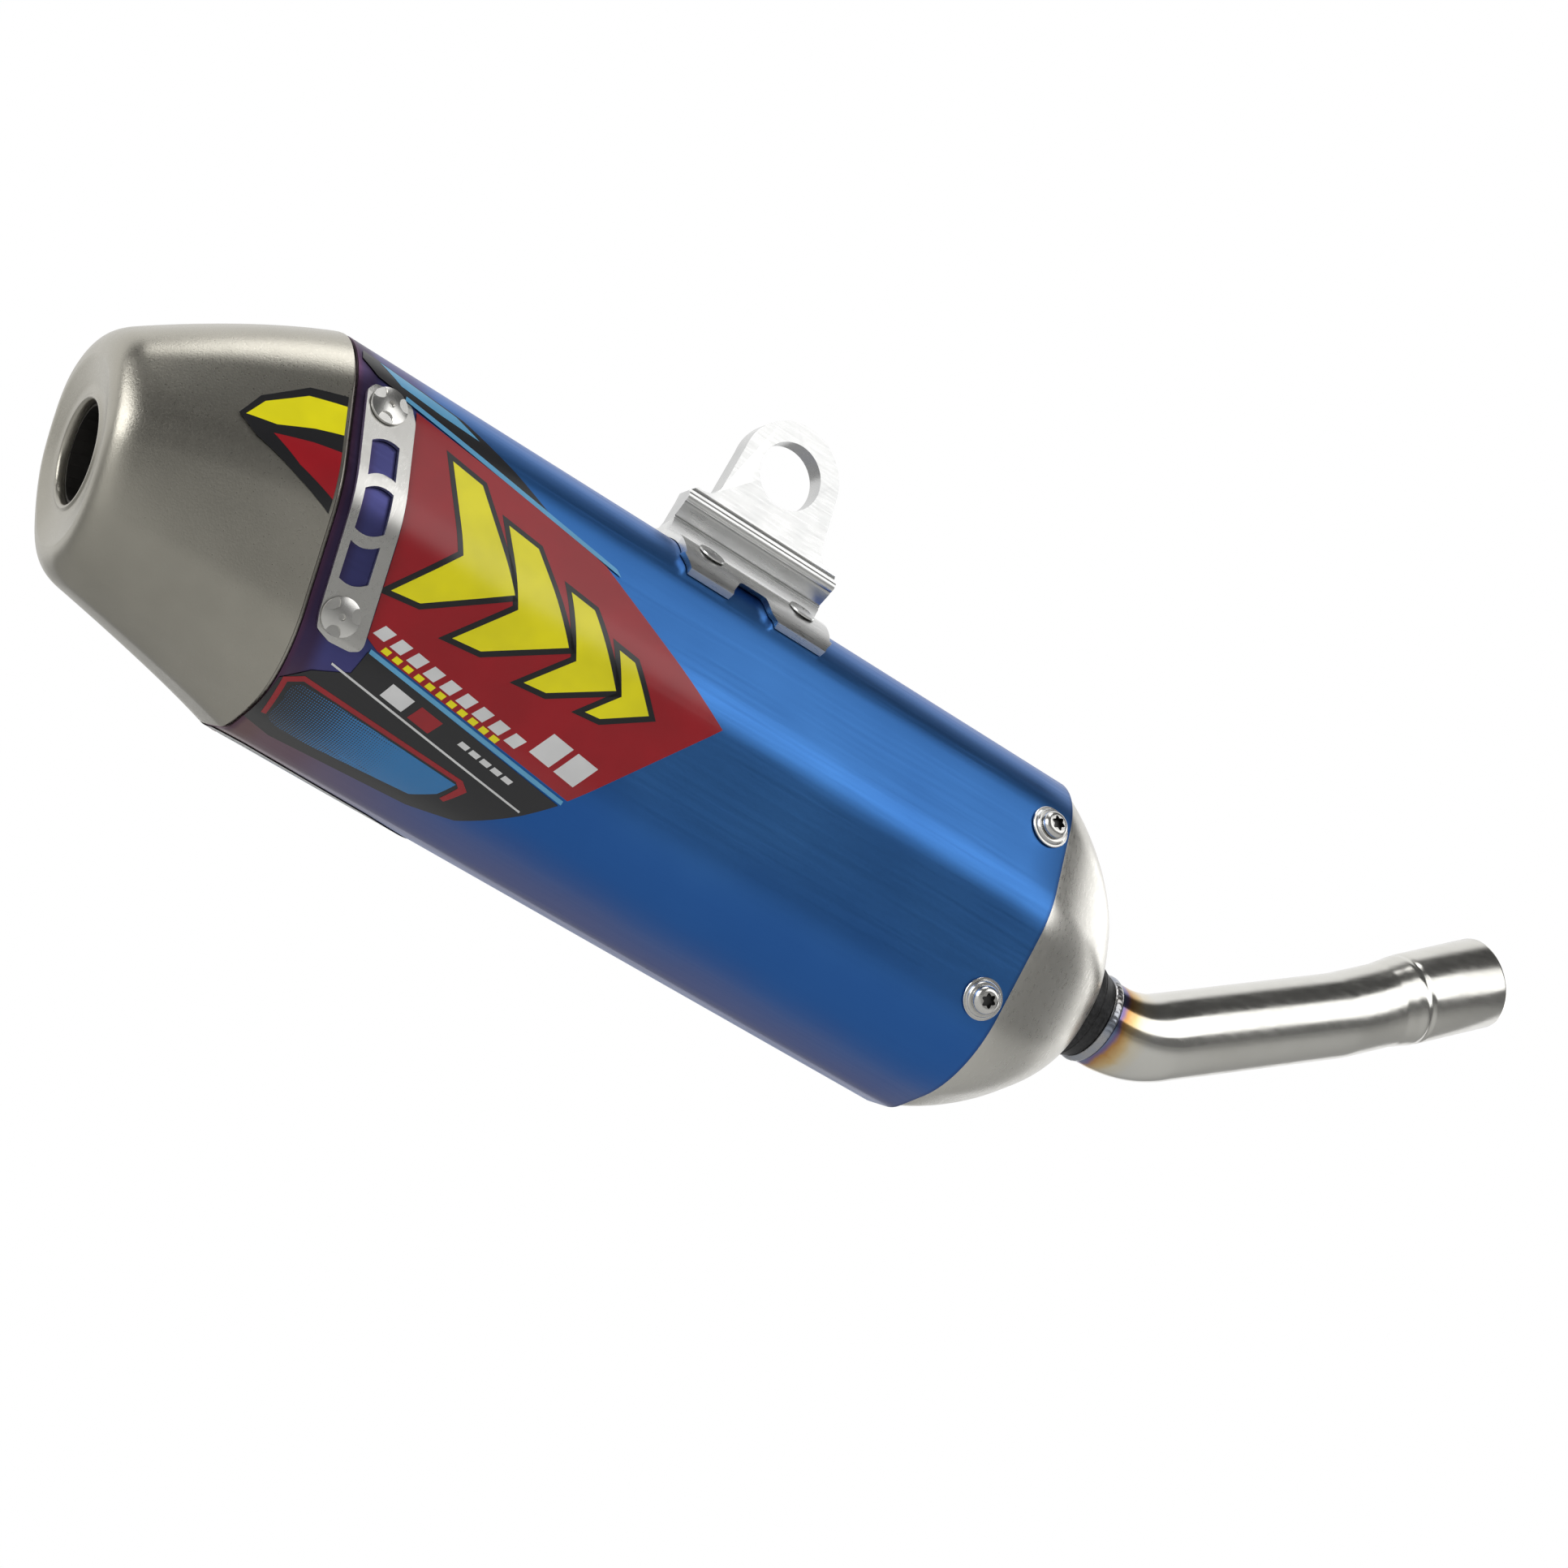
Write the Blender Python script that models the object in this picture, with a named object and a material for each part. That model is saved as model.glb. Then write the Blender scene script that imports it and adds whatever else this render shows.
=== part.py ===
"""Two-stroke motorcycle silencer, built as separate parts.

World frame: metres, +X forward (towards the engine), +Y left, +Z up.
The origin is the centre of the hanger hole in the mount bracket.
The shapes below are written in the can frame: x = 0 is the inlet rim of the sleeve,
n is the distance out to the right (-Y) from the can's mid-plane, and u is the height.
"""
import bmesh
import bpy
from math import atan2, ceil, cos, hypot, pi, radians, sin, tan
from mathutils import Matrix, Vector
from mathutils.geometry import tessellate_polygon

MM = 0.001
GAP = 0.3  # clearance between touching parts, mm
TAIL_GAP = 0.8  # clearance between a rivet's tail and the curved wall it closes on, mm

# ---- driving dimensions, in millimetres --------------------------------------------------
# Right half of the can's section: (n, u, corner radius), from the top to the bottom.
SECTION_CORNERS = [
    (0.0, 65.9, 75.0),
    (43.7, 48.2, 31.0),
    (55.9, -1.1, 36.0),
    (40.3, -62.1, 38.0),
    (0.0, -70.8, 20.0),
]
FLAT_STEP = 11.0  # longest station spacing on the section's flats
SLEEVE_WALL = 1.0
CUT_X = -288.3  # outlet cut at the height u = 0
CUT_SLOPE = 0.219  # the cut leans out towards the top
AXIS_U = -4.6  # height of the inlet neck and of the core

SKIRT_IN = SLEEVE_WALL + GAP  # how far a cap's skirt sits inside the sleeve's surface
CAP_WALL = 1.2
SKIRT_LENGTH = 17.0

DOME_LENGTH = 49.3
NECK_RADIUS = 17.0
CORE_RADIUS = 18.0
CORE_WALL = 0.9

OUTLET_CENTRE = (-353.1, -15.4)  # x, u of the outlet's lip
OUTLET_TILT = radians(15.0)
OUTLET_RADIUS = 17.0
FACE_PROUD = 3.4  # the front face's rim stands this far in front of the lip

PIPE_RADIUS = 16.0
PIPE_WALL = 1.2
PIPE_START = 63.5
BEND_1 = (67.2, 44.0, radians(32.3))  # start x, radius, angle
BEND_2_RADIUS = 60.0
BEND_2_POINT = (160.0, 46.1)
END_ANGLE = radians(37.0)
END_LENGTH = 70.7  # from the second bend to the open end
SWAGE_START, SWAGE_END = 22.0, 34.0
SWAGE_RADIUS = 17.35

HANGER = (-139.8, 24.65, 97.6)  # x, n, u of the hanger hole
HANGER_RADIUS = 12.0
LUG_RADIUS = 19.3
LUG_HALF = 3.65
LUG_FOOT_HALF = 21.2  # the lug widens to this half-width above its fillets
LUG_FILLET = 6.0
SHOULDER_U = 75.6
BRACKET_LOW, BRACKET_HIGH = -171.3, -108.8
BRACKET_RIVET_X = (-158.9, -120.8)
BRACKET_RIVET_S = (37.4, 4.2)

STRAP_GAP, STRAP_WIDTH = 3.4, 17.8  # distance from the cut, and width
STRAP_SPAN = (54.8, 138.0)  # along the section, from the top centre
STRAP_THICK = 1.5
STRAP_RIVET_ACROSS = 10.8
STRAP_RIVETS = (60.8, 129.8)
SCREW_X = -8.8
SCREW_PLACES = (62.9, 130.2)

COLOURS = {
    "titanium": ((0.05, 0.16, 0.42), 0.3, 1.0),
    "satin": ((0.42, 0.40, 0.36), 0.38, 1.0),
    "stainless": ((0.60, 0.58, 0.54), 0.25, 1.0),
    "aluminium": ((0.82, 0.83, 0.85), 0.25, 1.0),
    "black": ((0.02, 0.02, 0.02), 0.55, 0.2),
    "weld": ((0.30, 0.36, 0.45), 0.3, 1.0),
    "red": ((0.45, 0.01, 0.02), 0.2, 0.0),
    "fibre": ((0.75, 0.72, 0.60), 0.9, 0.0),
}


FACE_X = OUTLET_CENTRE[0] - FACE_PROUD / cos(OUTLET_TILT)
# (share, scale, roundness) rows from the joggle at the sleeve's edge to the front edge
CAP_SIDE = [(0.012, 1.0, 0.0), (0.02, 1.02, 0.0), (0.18, 0.955, 0.014),
            (0.4, 0.867, 0.08), (0.64, 0.77, 0.216), (0.86, 0.68, 0.403)]
# the rounded front edge: the side's line runs on to the corner, then turns into the face
EDGE_CORNER, EDGE_FACE = (1.0, 0.624, 0.465), (1.0, 0.5, 0.62)
CAP_DROP, CAP_DROP_POWER = -11.5, 1.44  # how the cap's middle sinks towards the outlet
ROUND_RADIUS = 59.0  # circle that the cap's section grows towards


# ---- scene helpers -----------------------------------------------------------------------
def clear_scene():
    for old in list(bpy.data.objects):
        bpy.data.objects.remove(old, do_unlink=True)


def material(name):
    found = bpy.data.materials.get(name)
    if found:
        return found
    colour, rough, metal = COLOURS[name]
    made = bpy.data.materials.new(name)
    made.use_nodes = True
    shader = made.node_tree.nodes["Principled BSDF"]
    shader.inputs["Base Color"].default_value = (*colour, 1.0)
    shader.inputs["Roughness"].default_value = rough
    shader.inputs["Metallic"].default_value = metal
    made.diffuse_color = (*colour, 1.0)
    return made


def at(x, n, u):
    """A point of the can frame as a vector in metres."""
    return Vector((x * MM, -n * MM, u * MM))


def add_object(name, mesh, colour, root, smooth=True):
    mesh.materials.append(material(colour))
    thing = bpy.data.objects.new(name, mesh)
    bpy.context.collection.objects.link(thing)
    thing.parent = root
    if smooth:
        mesh.shade_smooth()
        mesh.set_sharp_from_angle(angle=radians(30))
    return thing


def mesh_from(bm, name):
    bmesh.ops.remove_doubles(bm, verts=bm.verts, dist=1e-7)
    bmesh.ops.recalc_face_normals(bm, faces=bm.faces)
    mesh = bpy.data.meshes.new(name)
    bm.to_mesh(mesh)
    bm.free()
    return mesh


def loft(bm, rings, closed=False):
    """Skins a list of rings of points. closed joins the last ring to the first one."""
    loops = [[bm.verts.new(p) for p in ring] for ring in rings]
    pairs = list(zip(loops, loops[1:]))
    if closed:
        pairs.append((loops[-1], loops[0]))
    for a, b in pairs:
        for i in range(len(a)):
            j = (i + 1) % len(a)
            bm.faces.new((a[i], a[j], b[j], b[i]))
    return loops


def shell(name, outer, inner, colour, root):
    """A closed wall: the outer rings forwards, then the inner rings back."""
    bm = bmesh.new()
    loft(bm, outer + inner[::-1], closed=True)
    return add_object(name, mesh_from(bm, name), colour, root)


def cutter(bm, name, root):
    thing = bpy.data.objects.new(name, mesh_from(bm, name))
    bpy.context.collection.objects.link(thing)
    thing.parent = root
    thing.hide_render = True
    thing.display_type = "WIRE"
    return thing


def cut(target, tool, operation="DIFFERENCE"):
    modifier = target.modifiers.new(tool.name, "BOOLEAN")
    modifier.operation = operation
    modifier.solver = "EXACT"
    modifier.object = tool


def lathe(bm, profile, frame, steps=20):
    """Turns (radius, height) points round the frame's Z axis. Ends on the axis are closed."""
    rings = []
    for radius, height in profile:
        rings.append([
            frame @ Vector((radius * cos(a) * MM, radius * sin(a) * MM, height * MM))
            for a in (2 * pi * k / steps for k in range(steps))
        ])
    loops = loft(bm, rings)
    bm.faces.new(loops[0])
    bm.faces.new(loops[-1])


def prism(bm, outline, half, middle=0.0):
    """Extrudes an (x, u) outline across the can, from n = middle - half to middle + half."""
    near = [bm.verts.new(at(x, middle + half, u)) for x, u in outline]
    far = [bm.verts.new(at(x, middle - half, u)) for x, u in outline]
    bm.faces.new(near)
    bm.faces.new(far)
    for i in range(len(outline)):
        j = (i + 1) % len(outline)
        bm.faces.new((near[i], near[j], far[j], far[i]))


def arc(cx, cy, radius, start, end, steps):
    """Points of an arc, angles in degrees."""
    return [
        (cx + radius * cos(radians(start + (end - start) * k / steps)),
         cy + radius * sin(radians(start + (end - start) * k / steps)))
        for k in range(steps + 1)
    ]


# ---- the can's section -------------------------------------------------------------------
def split_flats(points):
    """Adds stations where two neighbours on a flat are further apart than FLAT_STEP."""
    result = []
    for k, p in enumerate(points):
        q = points[(k + 1) % len(points)]
        pieces = max(1, ceil(hypot(q[0] - p[0], q[1] - p[1]) / FLAT_STEP))
        for i in range(pieces):
            result.append(tuple(a + (b - a) * i / pieces for a, b in zip(p, q)))
    return result


def section_stations():
    """(n, u, normal n, normal u, s) round the whole section, clockwise from the top centre.

    s is the distance along the surface; corners are arcs, so offsets stay exact.
    """
    half = SECTION_CORNERS
    left = [(-n, u, r) for n, u, r in half[-2:0:-1]]
    corners = half + left
    points = []
    for i, (n, u, radius) in enumerate(corners):
        before, after = corners[i - 1], corners[(i + 1) % len(corners)]
        heading_in = atan2(u - before[1], n - before[0])
        heading_out = atan2(after[1] - u, after[0] - n)
        turn = (heading_out - heading_in + pi) % (2 * pi) - pi
        reach = radius * tan(abs(turn) / 2)
        start = (n - reach * cos(heading_in), u - reach * sin(heading_in))
        centre = (start[0] + radius * sin(heading_in), start[1] - radius * cos(heading_in))
        steps = max(2, 2 * round(abs(turn) / radians(22)))
        for k in range(steps + 1):
            normal = heading_in + turn * k / steps + pi / 2
            points.append((
                centre[0] + radius * cos(normal),
                centre[1] + radius * sin(normal),
                cos(normal),
                sin(normal),
            ))
    top = min(range(len(points)), key=lambda k: hypot(points[k][0], points[k][1] - half[0][1]))
    points = split_flats(points[top:] + points[:top])
    stations, s = [], 0.0
    for k, p in enumerate(points):
        if k:
            s += hypot(p[0] - points[k - 1][0], p[1] - points[k - 1][1])
        stations.append((*p, s))
    return stations


STATIONS = section_stations()
PERIMETER = STATIONS[-1][4] + hypot(
    STATIONS[0][0] - STATIONS[-1][0], STATIONS[0][1] - STATIONS[-1][1]
)


def section_ring(x_of_u, offset):
    """The section as a ring of points; x_of_u gives the x of each height."""
    ring = []
    for n, u, dn, du, _ in STATIONS:
        height = u + du * offset
        ring.append(at(x_of_u(height), n + dn * offset, height))
    return ring


def on_section(s):
    """(n, u, normal n, normal u) at the distance s from the top centre, either way round."""
    s %= PERIMETER
    following = [(*STATIONS[0][:4], PERIMETER)]
    for a, b in zip(STATIONS, STATIONS[1:] + following):
        if a[4] <= s <= b[4]:
            share = (s - a[4]) / (b[4] - a[4])
            return tuple(p + (q - p) * share for p, q in zip(a[:4], b[:4]))


def cut_x(u):
    """x of the sleeve's outlet cut at the height u."""
    return CUT_X - CUT_SLOPE * u


def surface_frame(x, s, offset):
    """A frame on the sleeve: origin at the surface point, Z out along the normal."""
    n, u, dn, du = on_section(s)
    length = hypot(dn, du)
    dn, du = dn / length, du / length
    z_axis = Vector((0, -dn, du))
    x_axis = Vector((1, 0, 0))
    y_axis = z_axis.cross(x_axis)
    frame = Matrix((x_axis, y_axis, z_axis)).transposed().to_4x4()
    frame.translation = at(x, n + dn * offset, u + du * offset)
    return frame


def wrapped_sheet(name, outline, low, high, place, breaks, colour, root, holes=(), rows=()):
    """A thin sheet bent over a surface.

    outline and holes are loops of (a, b) points; place(a, b, offset) gives the point in
    space; breaks are the values of b, and rows those of a, where the surface has an edge.
    """
    loops = [[Vector((a, b, 0)) for a, b in loop] for loop in (outline, *holes)]
    flat = [p for loop in loops for p in loop]
    bm = bmesh.new()
    corners = [bm.verts.new(p) for p in flat]
    for triangle in tessellate_polygon(loops):
        bm.faces.new([corners[k] for k in triangle])
    planes = [((0, b, 0), (0, 1, 0)) for b in breaks] + [((a, 0, 0), (1, 0, 0)) for a in rows]
    for spot, normal in planes:
        bmesh.ops.bisect_plane(
            bm, geom=bm.verts[:] + bm.edges[:] + bm.faces[:], dist=1e-4,
            plane_co=spot, plane_no=normal,
        )
    bmesh.ops.remove_doubles(bm, verts=bm.verts, dist=1e-4)
    bm.verts.index_update()
    faces = [[v.index for v in face.verts] for face in bm.faces]
    rim = [
        (e.verts[0].index, e.verts[1].index) for e in bm.edges if len(e.link_faces) == 1
    ]
    spots = [(v.co.x, v.co.y) for v in bm.verts]
    bm.free()

    bm = bmesh.new()
    lower = [bm.verts.new(place(a, b, low)) for a, b in spots]
    upper = [bm.verts.new(place(a, b, high)) for a, b in spots]
    for face in faces:
        bm.faces.new([lower[k] for k in face])
        bm.faces.new([upper[k] for k in face])
    for i, j in rim:
        bm.faces.new((lower[i], lower[j], upper[j], upper[i]))
    return add_object(name, mesh_from(bm, name), colour, root)


def section_breaks(low, high):
    """The station distances between low and high, for either side of the can."""
    values = [p[4] for p in STATIONS] + [p[4] - PERIMETER for p in STATIONS]
    return sorted(v for v in values if low < v < high)


def on_sleeve(x, s, offset):
    n, u, dn, du = on_section(s)
    return at(x, n + dn * offset, u + du * offset)


# ---- tubes -------------------------------------------------------------------------------
def tube_rings(path, radius_of, steps):
    """Rings round a path of (x, u, heading) points in the can's mid-plane."""
    rings = []
    for k, (x, u, heading) in enumerate(path):
        radius = radius_of(k)
        ring = []
        for i in range(steps):
            a = 2 * pi * i / steps
            up = radius * cos(a)
            ring.append(at(x - up * sin(heading), radius * sin(a), u + up * cos(heading)))
        rings.append(ring)
    return rings


def bend(x, u, heading, radius, angle, steps):
    """Centre-line points of a bend that starts at (x, u)."""
    side = 1 if angle > 0 else -1
    cx, cu = x - side * radius * sin(heading), u + side * radius * cos(heading)
    points = []
    for k in range(steps + 1):
        h = heading + angle * k / steps
        points.append((cx + side * radius * sin(h), cu - side * radius * cos(h), h))
    return points


# ---- parts -------------------------------------------------------------------------------
def make_sleeve(root):
    rings = [
        [section_ring(lambda u: 0.0, 0.0), section_ring(cut_x, 0.0)],
        [section_ring(lambda u: 0.0, -SLEEVE_WALL), section_ring(cut_x, -SLEEVE_WALL)],
    ]
    return shell("sleeve", rings[0], rings[1], "titanium", root)


def dome_ring(share, offset):
    """A ring of the inlet cap's dome; share runs from 0 at the rim to 1 at the neck."""
    keep = (1 - share ** 1.19) ** (1 / 1.74)
    ring = []
    for n, u, dn, du, _ in STATIONS:
        n0, u0 = n + dn * offset, u + du * offset
        a = atan2(n0, u0 - AXIS_U)
        radius = NECK_RADIUS + (offset + SKIRT_IN)
        n1, u1 = radius * sin(a), AXIS_U + radius * cos(a)
        x = DOME_LENGTH * share + (offset + SKIRT_IN) * share
        ring.append(at(x, n1 + (n0 - n1) * keep, u1 + (u0 - u1) * keep))
    return ring


def make_inlet_cap(root):
    shares = [0.0, 0.15, 0.35, 0.55, 0.72, 0.86, 0.96, 1.0]
    skirt, thin = -SKIRT_IN, -SKIRT_IN - CAP_WALL
    outer = [section_ring(lambda u: -SKIRT_LENGTH, skirt)]
    outer += [dome_ring(share, skirt) for share in shares]
    inner = [section_ring(lambda u: -SKIRT_LENGTH, thin)]
    inner += [dome_ring(share, thin) for share in shares]
    return shell("inlet_cap", outer, inner, "stainless", root)


def cap_spot(station, row, inset, offset):
    """A point of the outlet cap, for a station of the section and a row of cap_profile().

    Share 0 is the sleeve's cut and 1 is the front face. inset moves the section inwards
    before it shrinks towards the outlet, and offset moves the point out afterwards.
    """
    n, u, dn, du = station[:4]
    share, scale, roundness = row
    n0, u0 = n - dn * inset, u - du * inset
    angle = atan2(n0, u0 - AXIS_U)
    n1 = n0 + (ROUND_RADIUS * sin(angle) - n0) * roundness
    u1 = u0 - AXIS_U + (ROUND_RADIUS * cos(angle) - u0 + AXIS_U) * roundness
    middle = AXIS_U + CAP_DROP * share ** CAP_DROP_POWER
    height = middle + u1 * scale + du * offset
    start = cut_x(height)
    end = FACE_X - tan(OUTLET_TILT) * (height - OUTLET_CENTRE[1])
    return at(start + (end - start) * share, n1 * scale + dn * offset, height)


def cap_profile():
    """(share, scale, roundness) rows down the cap's side and round its front edge."""
    rows = list(CAP_SIDE)
    for k in range(1, 6):
        t = k / 5
        rows.append(tuple(
            a * (1 - t) ** 2 + 2 * b * t * (1 - t) + c * t * t
            for a, b, c in zip(CAP_SIDE[-1], EDGE_CORNER, EDGE_FACE)
        ))
    return rows


def make_outlet_cap(root):
    skirt, thin = SKIRT_IN, SKIRT_IN + CAP_WALL

    def skirt_end(u):
        return cut_x(u) + SKIRT_LENGTH

    outer = [section_ring(skirt_end, -skirt)]
    inner = [section_ring(skirt_end, -thin)]
    for row in cap_profile():
        outer.append([cap_spot(p, row, skirt, 0.0) for p in STATIONS])
        share, scale, roundness = row
        back = (share - 0.02 * share, scale, roundness)
        inner.append([cap_spot(p, back, thin, 0.0) for p in STATIONS])
    lip = OUTLET_RADIUS
    outer += [outlet_ring(lip + 6, -1.7), outlet_ring(lip + 1.4, -0.6), outlet_ring(lip, 0.8)]
    inner += [outlet_ring(lip + 7, -0.3), outlet_ring(lip + 2.4, 1.2), outlet_ring(lip, 4.0)]
    return shell("outlet_cap", outer, inner, "satin", root)


def outlet_ring(radius, sink):
    """A circle round the outlet's axis, sink mm behind the front face."""
    ring = []
    for n, u, dn, du, _ in STATIONS:
        a = atan2(n, u - AXIS_U)
        up = radius * cos(a)
        ring.append(at(
            OUTLET_CENTRE[0] + sink * cos(OUTLET_TILT) - up * sin(OUTLET_TILT),
            radius * sin(a),
            OUTLET_CENTRE[1] + sink * sin(OUTLET_TILT) + up * cos(OUTLET_TILT),
        ))
    return ring


def make_outlet_tube(root):
    """The tube from the core to the front face, bent by the outlet's tilt."""
    radius, wall, steps = OUTLET_RADIUS - GAP, 0.9, 24
    turn = 60.0
    reach = turn * tan(OUTLET_TILT / 2)
    knee_x = OUTLET_CENTRE[0] + (AXIS_U - OUTLET_CENTRE[1]) / tan(OUTLET_TILT)
    path = [(-258.0, AXIS_U, pi)]
    path += bend(knee_x + reach, AXIS_U, pi, turn, OUTLET_TILT, 4)
    path.append((OUTLET_CENTRE[0] + 1.0, OUTLET_CENTRE[1] + 0.27, pi + OUTLET_TILT))
    outer = tube_rings(path, lambda k: radius, steps)
    inner = tube_rings(path, lambda k: radius - wall, steps)
    return shell("outlet_tube", outer, inner, "stainless", root)


def make_core(root):
    """The perforated core tube. Each cutter pierces both of its walls."""
    start, end = -276.0, DOME_LENGTH - 3.3
    path = [(start, AXIS_U, 0.0), (end, AXIS_U, 0.0)]
    outer = tube_rings(path, lambda k: CORE_RADIUS, 24)
    inner = tube_rings(path, lambda k: CORE_RADIUS - CORE_WALL, 24)
    core = shell("perforated_core", outer, inner, "stainless", root)
    rows, pitch, hole = 10, 25.0, 2.5
    bm = bmesh.new()
    for row in range(rows):
        for spoke in range(2):
            angle = pi / 2 * spoke + pi / 4 * (row % 2) + pi / 24
            frame = Matrix.Translation(at(-232.0 + pitch * row, 0, AXIS_U))
            frame = frame @ Matrix.Rotation(angle, 4, "X")
            shift = 3.0 if spoke else -3.0
            frame = frame @ Matrix.Translation((shift * MM, 0, 0))
            lathe(bm, [(hole, -24), (hole, 24)], frame, 6)
    cut(core, cutter(bm, "core_holes", root))
    return core


def make_packing(root):
    """Fibre packing between the core and the sleeve, clear of both caps' skirts."""
    low, high = -248.0, -SKIRT_LENGTH - 3.0
    inset = -SLEEVE_WALL - 0.4
    bore = CORE_RADIUS + 0.4
    outer = [section_ring(lambda u: low, inset), section_ring(lambda u: high, inset)]
    inner = []
    for x in (low, high):
        inner.append([
            at(x, bore * sin(a), AXIS_U + bore * cos(a))
            for a in (atan2(n, u - AXIS_U) for n, u, *_ in STATIONS)
        ])
    return shell("packing", outer, inner, "fibre", root)


def make_neck_collar(root):
    x0 = DOME_LENGTH + GAP
    profile = [(0.0, 19.0), (3.2, 18.9), (7.6, 16.7), (9.5, 16.2)]
    path = [(x0 + x, AXIS_U, 0.0) for x, _ in profile]
    outer = tube_rings(path, lambda k: profile[k][1], 24)
    inner = tube_rings(path, lambda k: PIPE_RADIUS - PIPE_WALL, 24)
    return shell("neck_collar", outer, inner, "black", root)


def make_weld_bead(root):
    x0, width = DOME_LENGTH + 10.1, 3.8
    profile = [(0.0, 16.3), (0.9, 17.0), (2.9, 17.0), (width, 16.3)]
    path = [(x0 + x, AXIS_U, 0.0) for x, _ in profile]
    outer = tube_rings(path, lambda k: profile[k][1], 24)
    inner = tube_rings(path, lambda k: PIPE_RADIUS - PIPE_WALL, 24)
    return shell("weld_bead", outer, inner, "weld", root)


def pipe_path():
    """Centre line and outer radius of the inlet pipe: rows of (x, u, heading), radius."""
    x1, radius_1, angle_1 = BEND_1
    points = [(PIPE_START, AXIS_U, 0.0)] + bend(x1, AXIS_U, 0.0, radius_1, angle_1, 5)
    extra = END_ANGLE - angle_1
    reach = BEND_2_RADIUS * tan(extra / 2)
    x2 = BEND_2_POINT[0] - reach * cos(angle_1)
    u2 = BEND_2_POINT[1] - reach * sin(angle_1)
    points += bend(x2, u2, angle_1, BEND_2_RADIUS, extra, 2)
    radii = [PIPE_RADIUS] * len(points)
    grown = SWAGE_RADIUS - PIPE_RADIUS
    for distance, share in ((SWAGE_START, 0.0), (SWAGE_START + 4, 0.35), (SWAGE_END - 3, 0.8),
                            (SWAGE_END - 1, 0.72), (SWAGE_END + 1, 1.0), (END_LENGTH, 1.0)):
        points.append((
            BEND_2_POINT[0] + distance * cos(END_ANGLE),
            BEND_2_POINT[1] + distance * sin(END_ANGLE),
            END_ANGLE,
        ))
        radii.append(PIPE_RADIUS + grown * share)
    return points, radii


def make_inlet_pipe(root):
    points, radii = pipe_path()
    outer = tube_rings(points, lambda k: radii[k], 24)
    inner = tube_rings(points, lambda k: radii[k] - PIPE_WALL, 24)
    return shell("inlet_pipe", outer, inner, "stainless", root)


def strap_point(across, s, offset):
    """A point on the strap: across is the distance from the sleeve's cut."""
    u = on_section(s)[1]
    return on_sleeve(cut_x(u) + across, s, offset)


def strap_outline():
    low, high = STRAP_GAP, STRAP_GAP + STRAP_WIDTH
    top, bottom = STRAP_SPAN
    return (
        [(low - 0.5, top + 4.0)]
        + [(low + 2.0, top + 0.8), (low + 6.3, top)]
        + [(high - 2.0, top + 1.1), (high, top + 6.0)]
        + [(high, bottom - 4.0), (high - 0.8, bottom - 2.0), (high - 4.0, bottom - 0.4)]
        + [(low + 6.3, bottom), (low + 1.2, bottom - 1.8), (low + 0.4, bottom - 6.0)]
    )


def strap_windows():
    """Three windows: barrel-shaped in the middle, and hollow-ended on either side of it."""
    left, right = STRAP_GAP + 3.1, STRAP_GAP + 13.1
    skew, bulge = 2.6, 1.5

    def bowed(s, rise):
        """A window's end, across the strap: it leans by skew and bows by rise."""
        return [
            (left + (right - left) * k / 4, s + skew * (0.5 - k / 4) + rise * (1 - (k / 2 - 1) ** 2))
            for k in range(5)
        ]

    upper, middle, lower = (73.6, 85.8), (90.0, 102.3), (106.2, 118.2)
    return [
        bowed(upper[0], -bulge) + bowed(upper[1], -bulge)[::-1],
        bowed(middle[0], -bulge) + bowed(middle[1], bulge)[::-1],
        bowed(lower[0], bulge) + bowed(lower[1], bulge)[::-1],
    ]


def hole_loop(across, s, radius, steps=12):
    return [
        (across + radius * cos(-2 * pi * k / steps), s + radius * sin(-2 * pi * k / steps))
        for k in range(steps)
    ]


def make_straps(root):
    holes = strap_windows() + [hole_loop(STRAP_RIVET_ACROSS, s, 2.8) for s in STRAP_RIVETS]
    for side, name in ((1, "strap_right"), (-1, "strap_left")):
        mirror = lambda loop: [(a, side * b) for a, b in loop][::side]
        wrapped_sheet(
            name, mirror(strap_outline()), GAP, GAP + STRAP_THICK, strap_point,
            section_breaks(-PERIMETER / 2, PERIMETER / 2), "stainless", root,
            [mirror(loop) for loop in holes],
        )


def make_rivet(name, frame, head_radius, head_height, grip, colour, root):
    """A pulled blind rivet; the frame's origin is the seat of its head."""
    shank, tail = 2.4, 3.2
    profile = [
        (tail * 0.7, -grip - 3.6), (tail, -grip - TAIL_GAP), (shank, -grip - TAIL_GAP), (shank, 0.0),
        (head_radius, 0.0), (head_radius, head_height * 0.35),
        (head_radius * 0.72, head_height * 0.85), (1.3, head_height),
    ]
    bm = bmesh.new()
    lathe(bm, profile, frame, 12)
    return add_object(name, mesh_from(bm, name), colour, root)


def drill(frames, radius, depth, name, root):
    """One cutter object with a drill at each frame."""
    bm = bmesh.new()
    for frame in frames:
        lathe(bm, [(radius, -depth), (radius, depth)], frame, 12)
    return cutter(bm, name, root)


def make_strap_rivets(root):
    seat = GAP + STRAP_THICK + GAP
    grip = seat + SLEEVE_WALL + GAP + CAP_WALL
    frames = []
    for side in (1, -1):
        for s in STRAP_RIVETS:
            u = on_section(s)[1]
            frames.append(surface_frame(cut_x(u) + STRAP_RIVET_ACROSS, side * s, seat))
    for k, frame in enumerate(frames):
        make_rivet(f"strap_rivet_{k + 1}", frame, 6.5, 1.9, grip, "stainless", root)
    return frames


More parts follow.
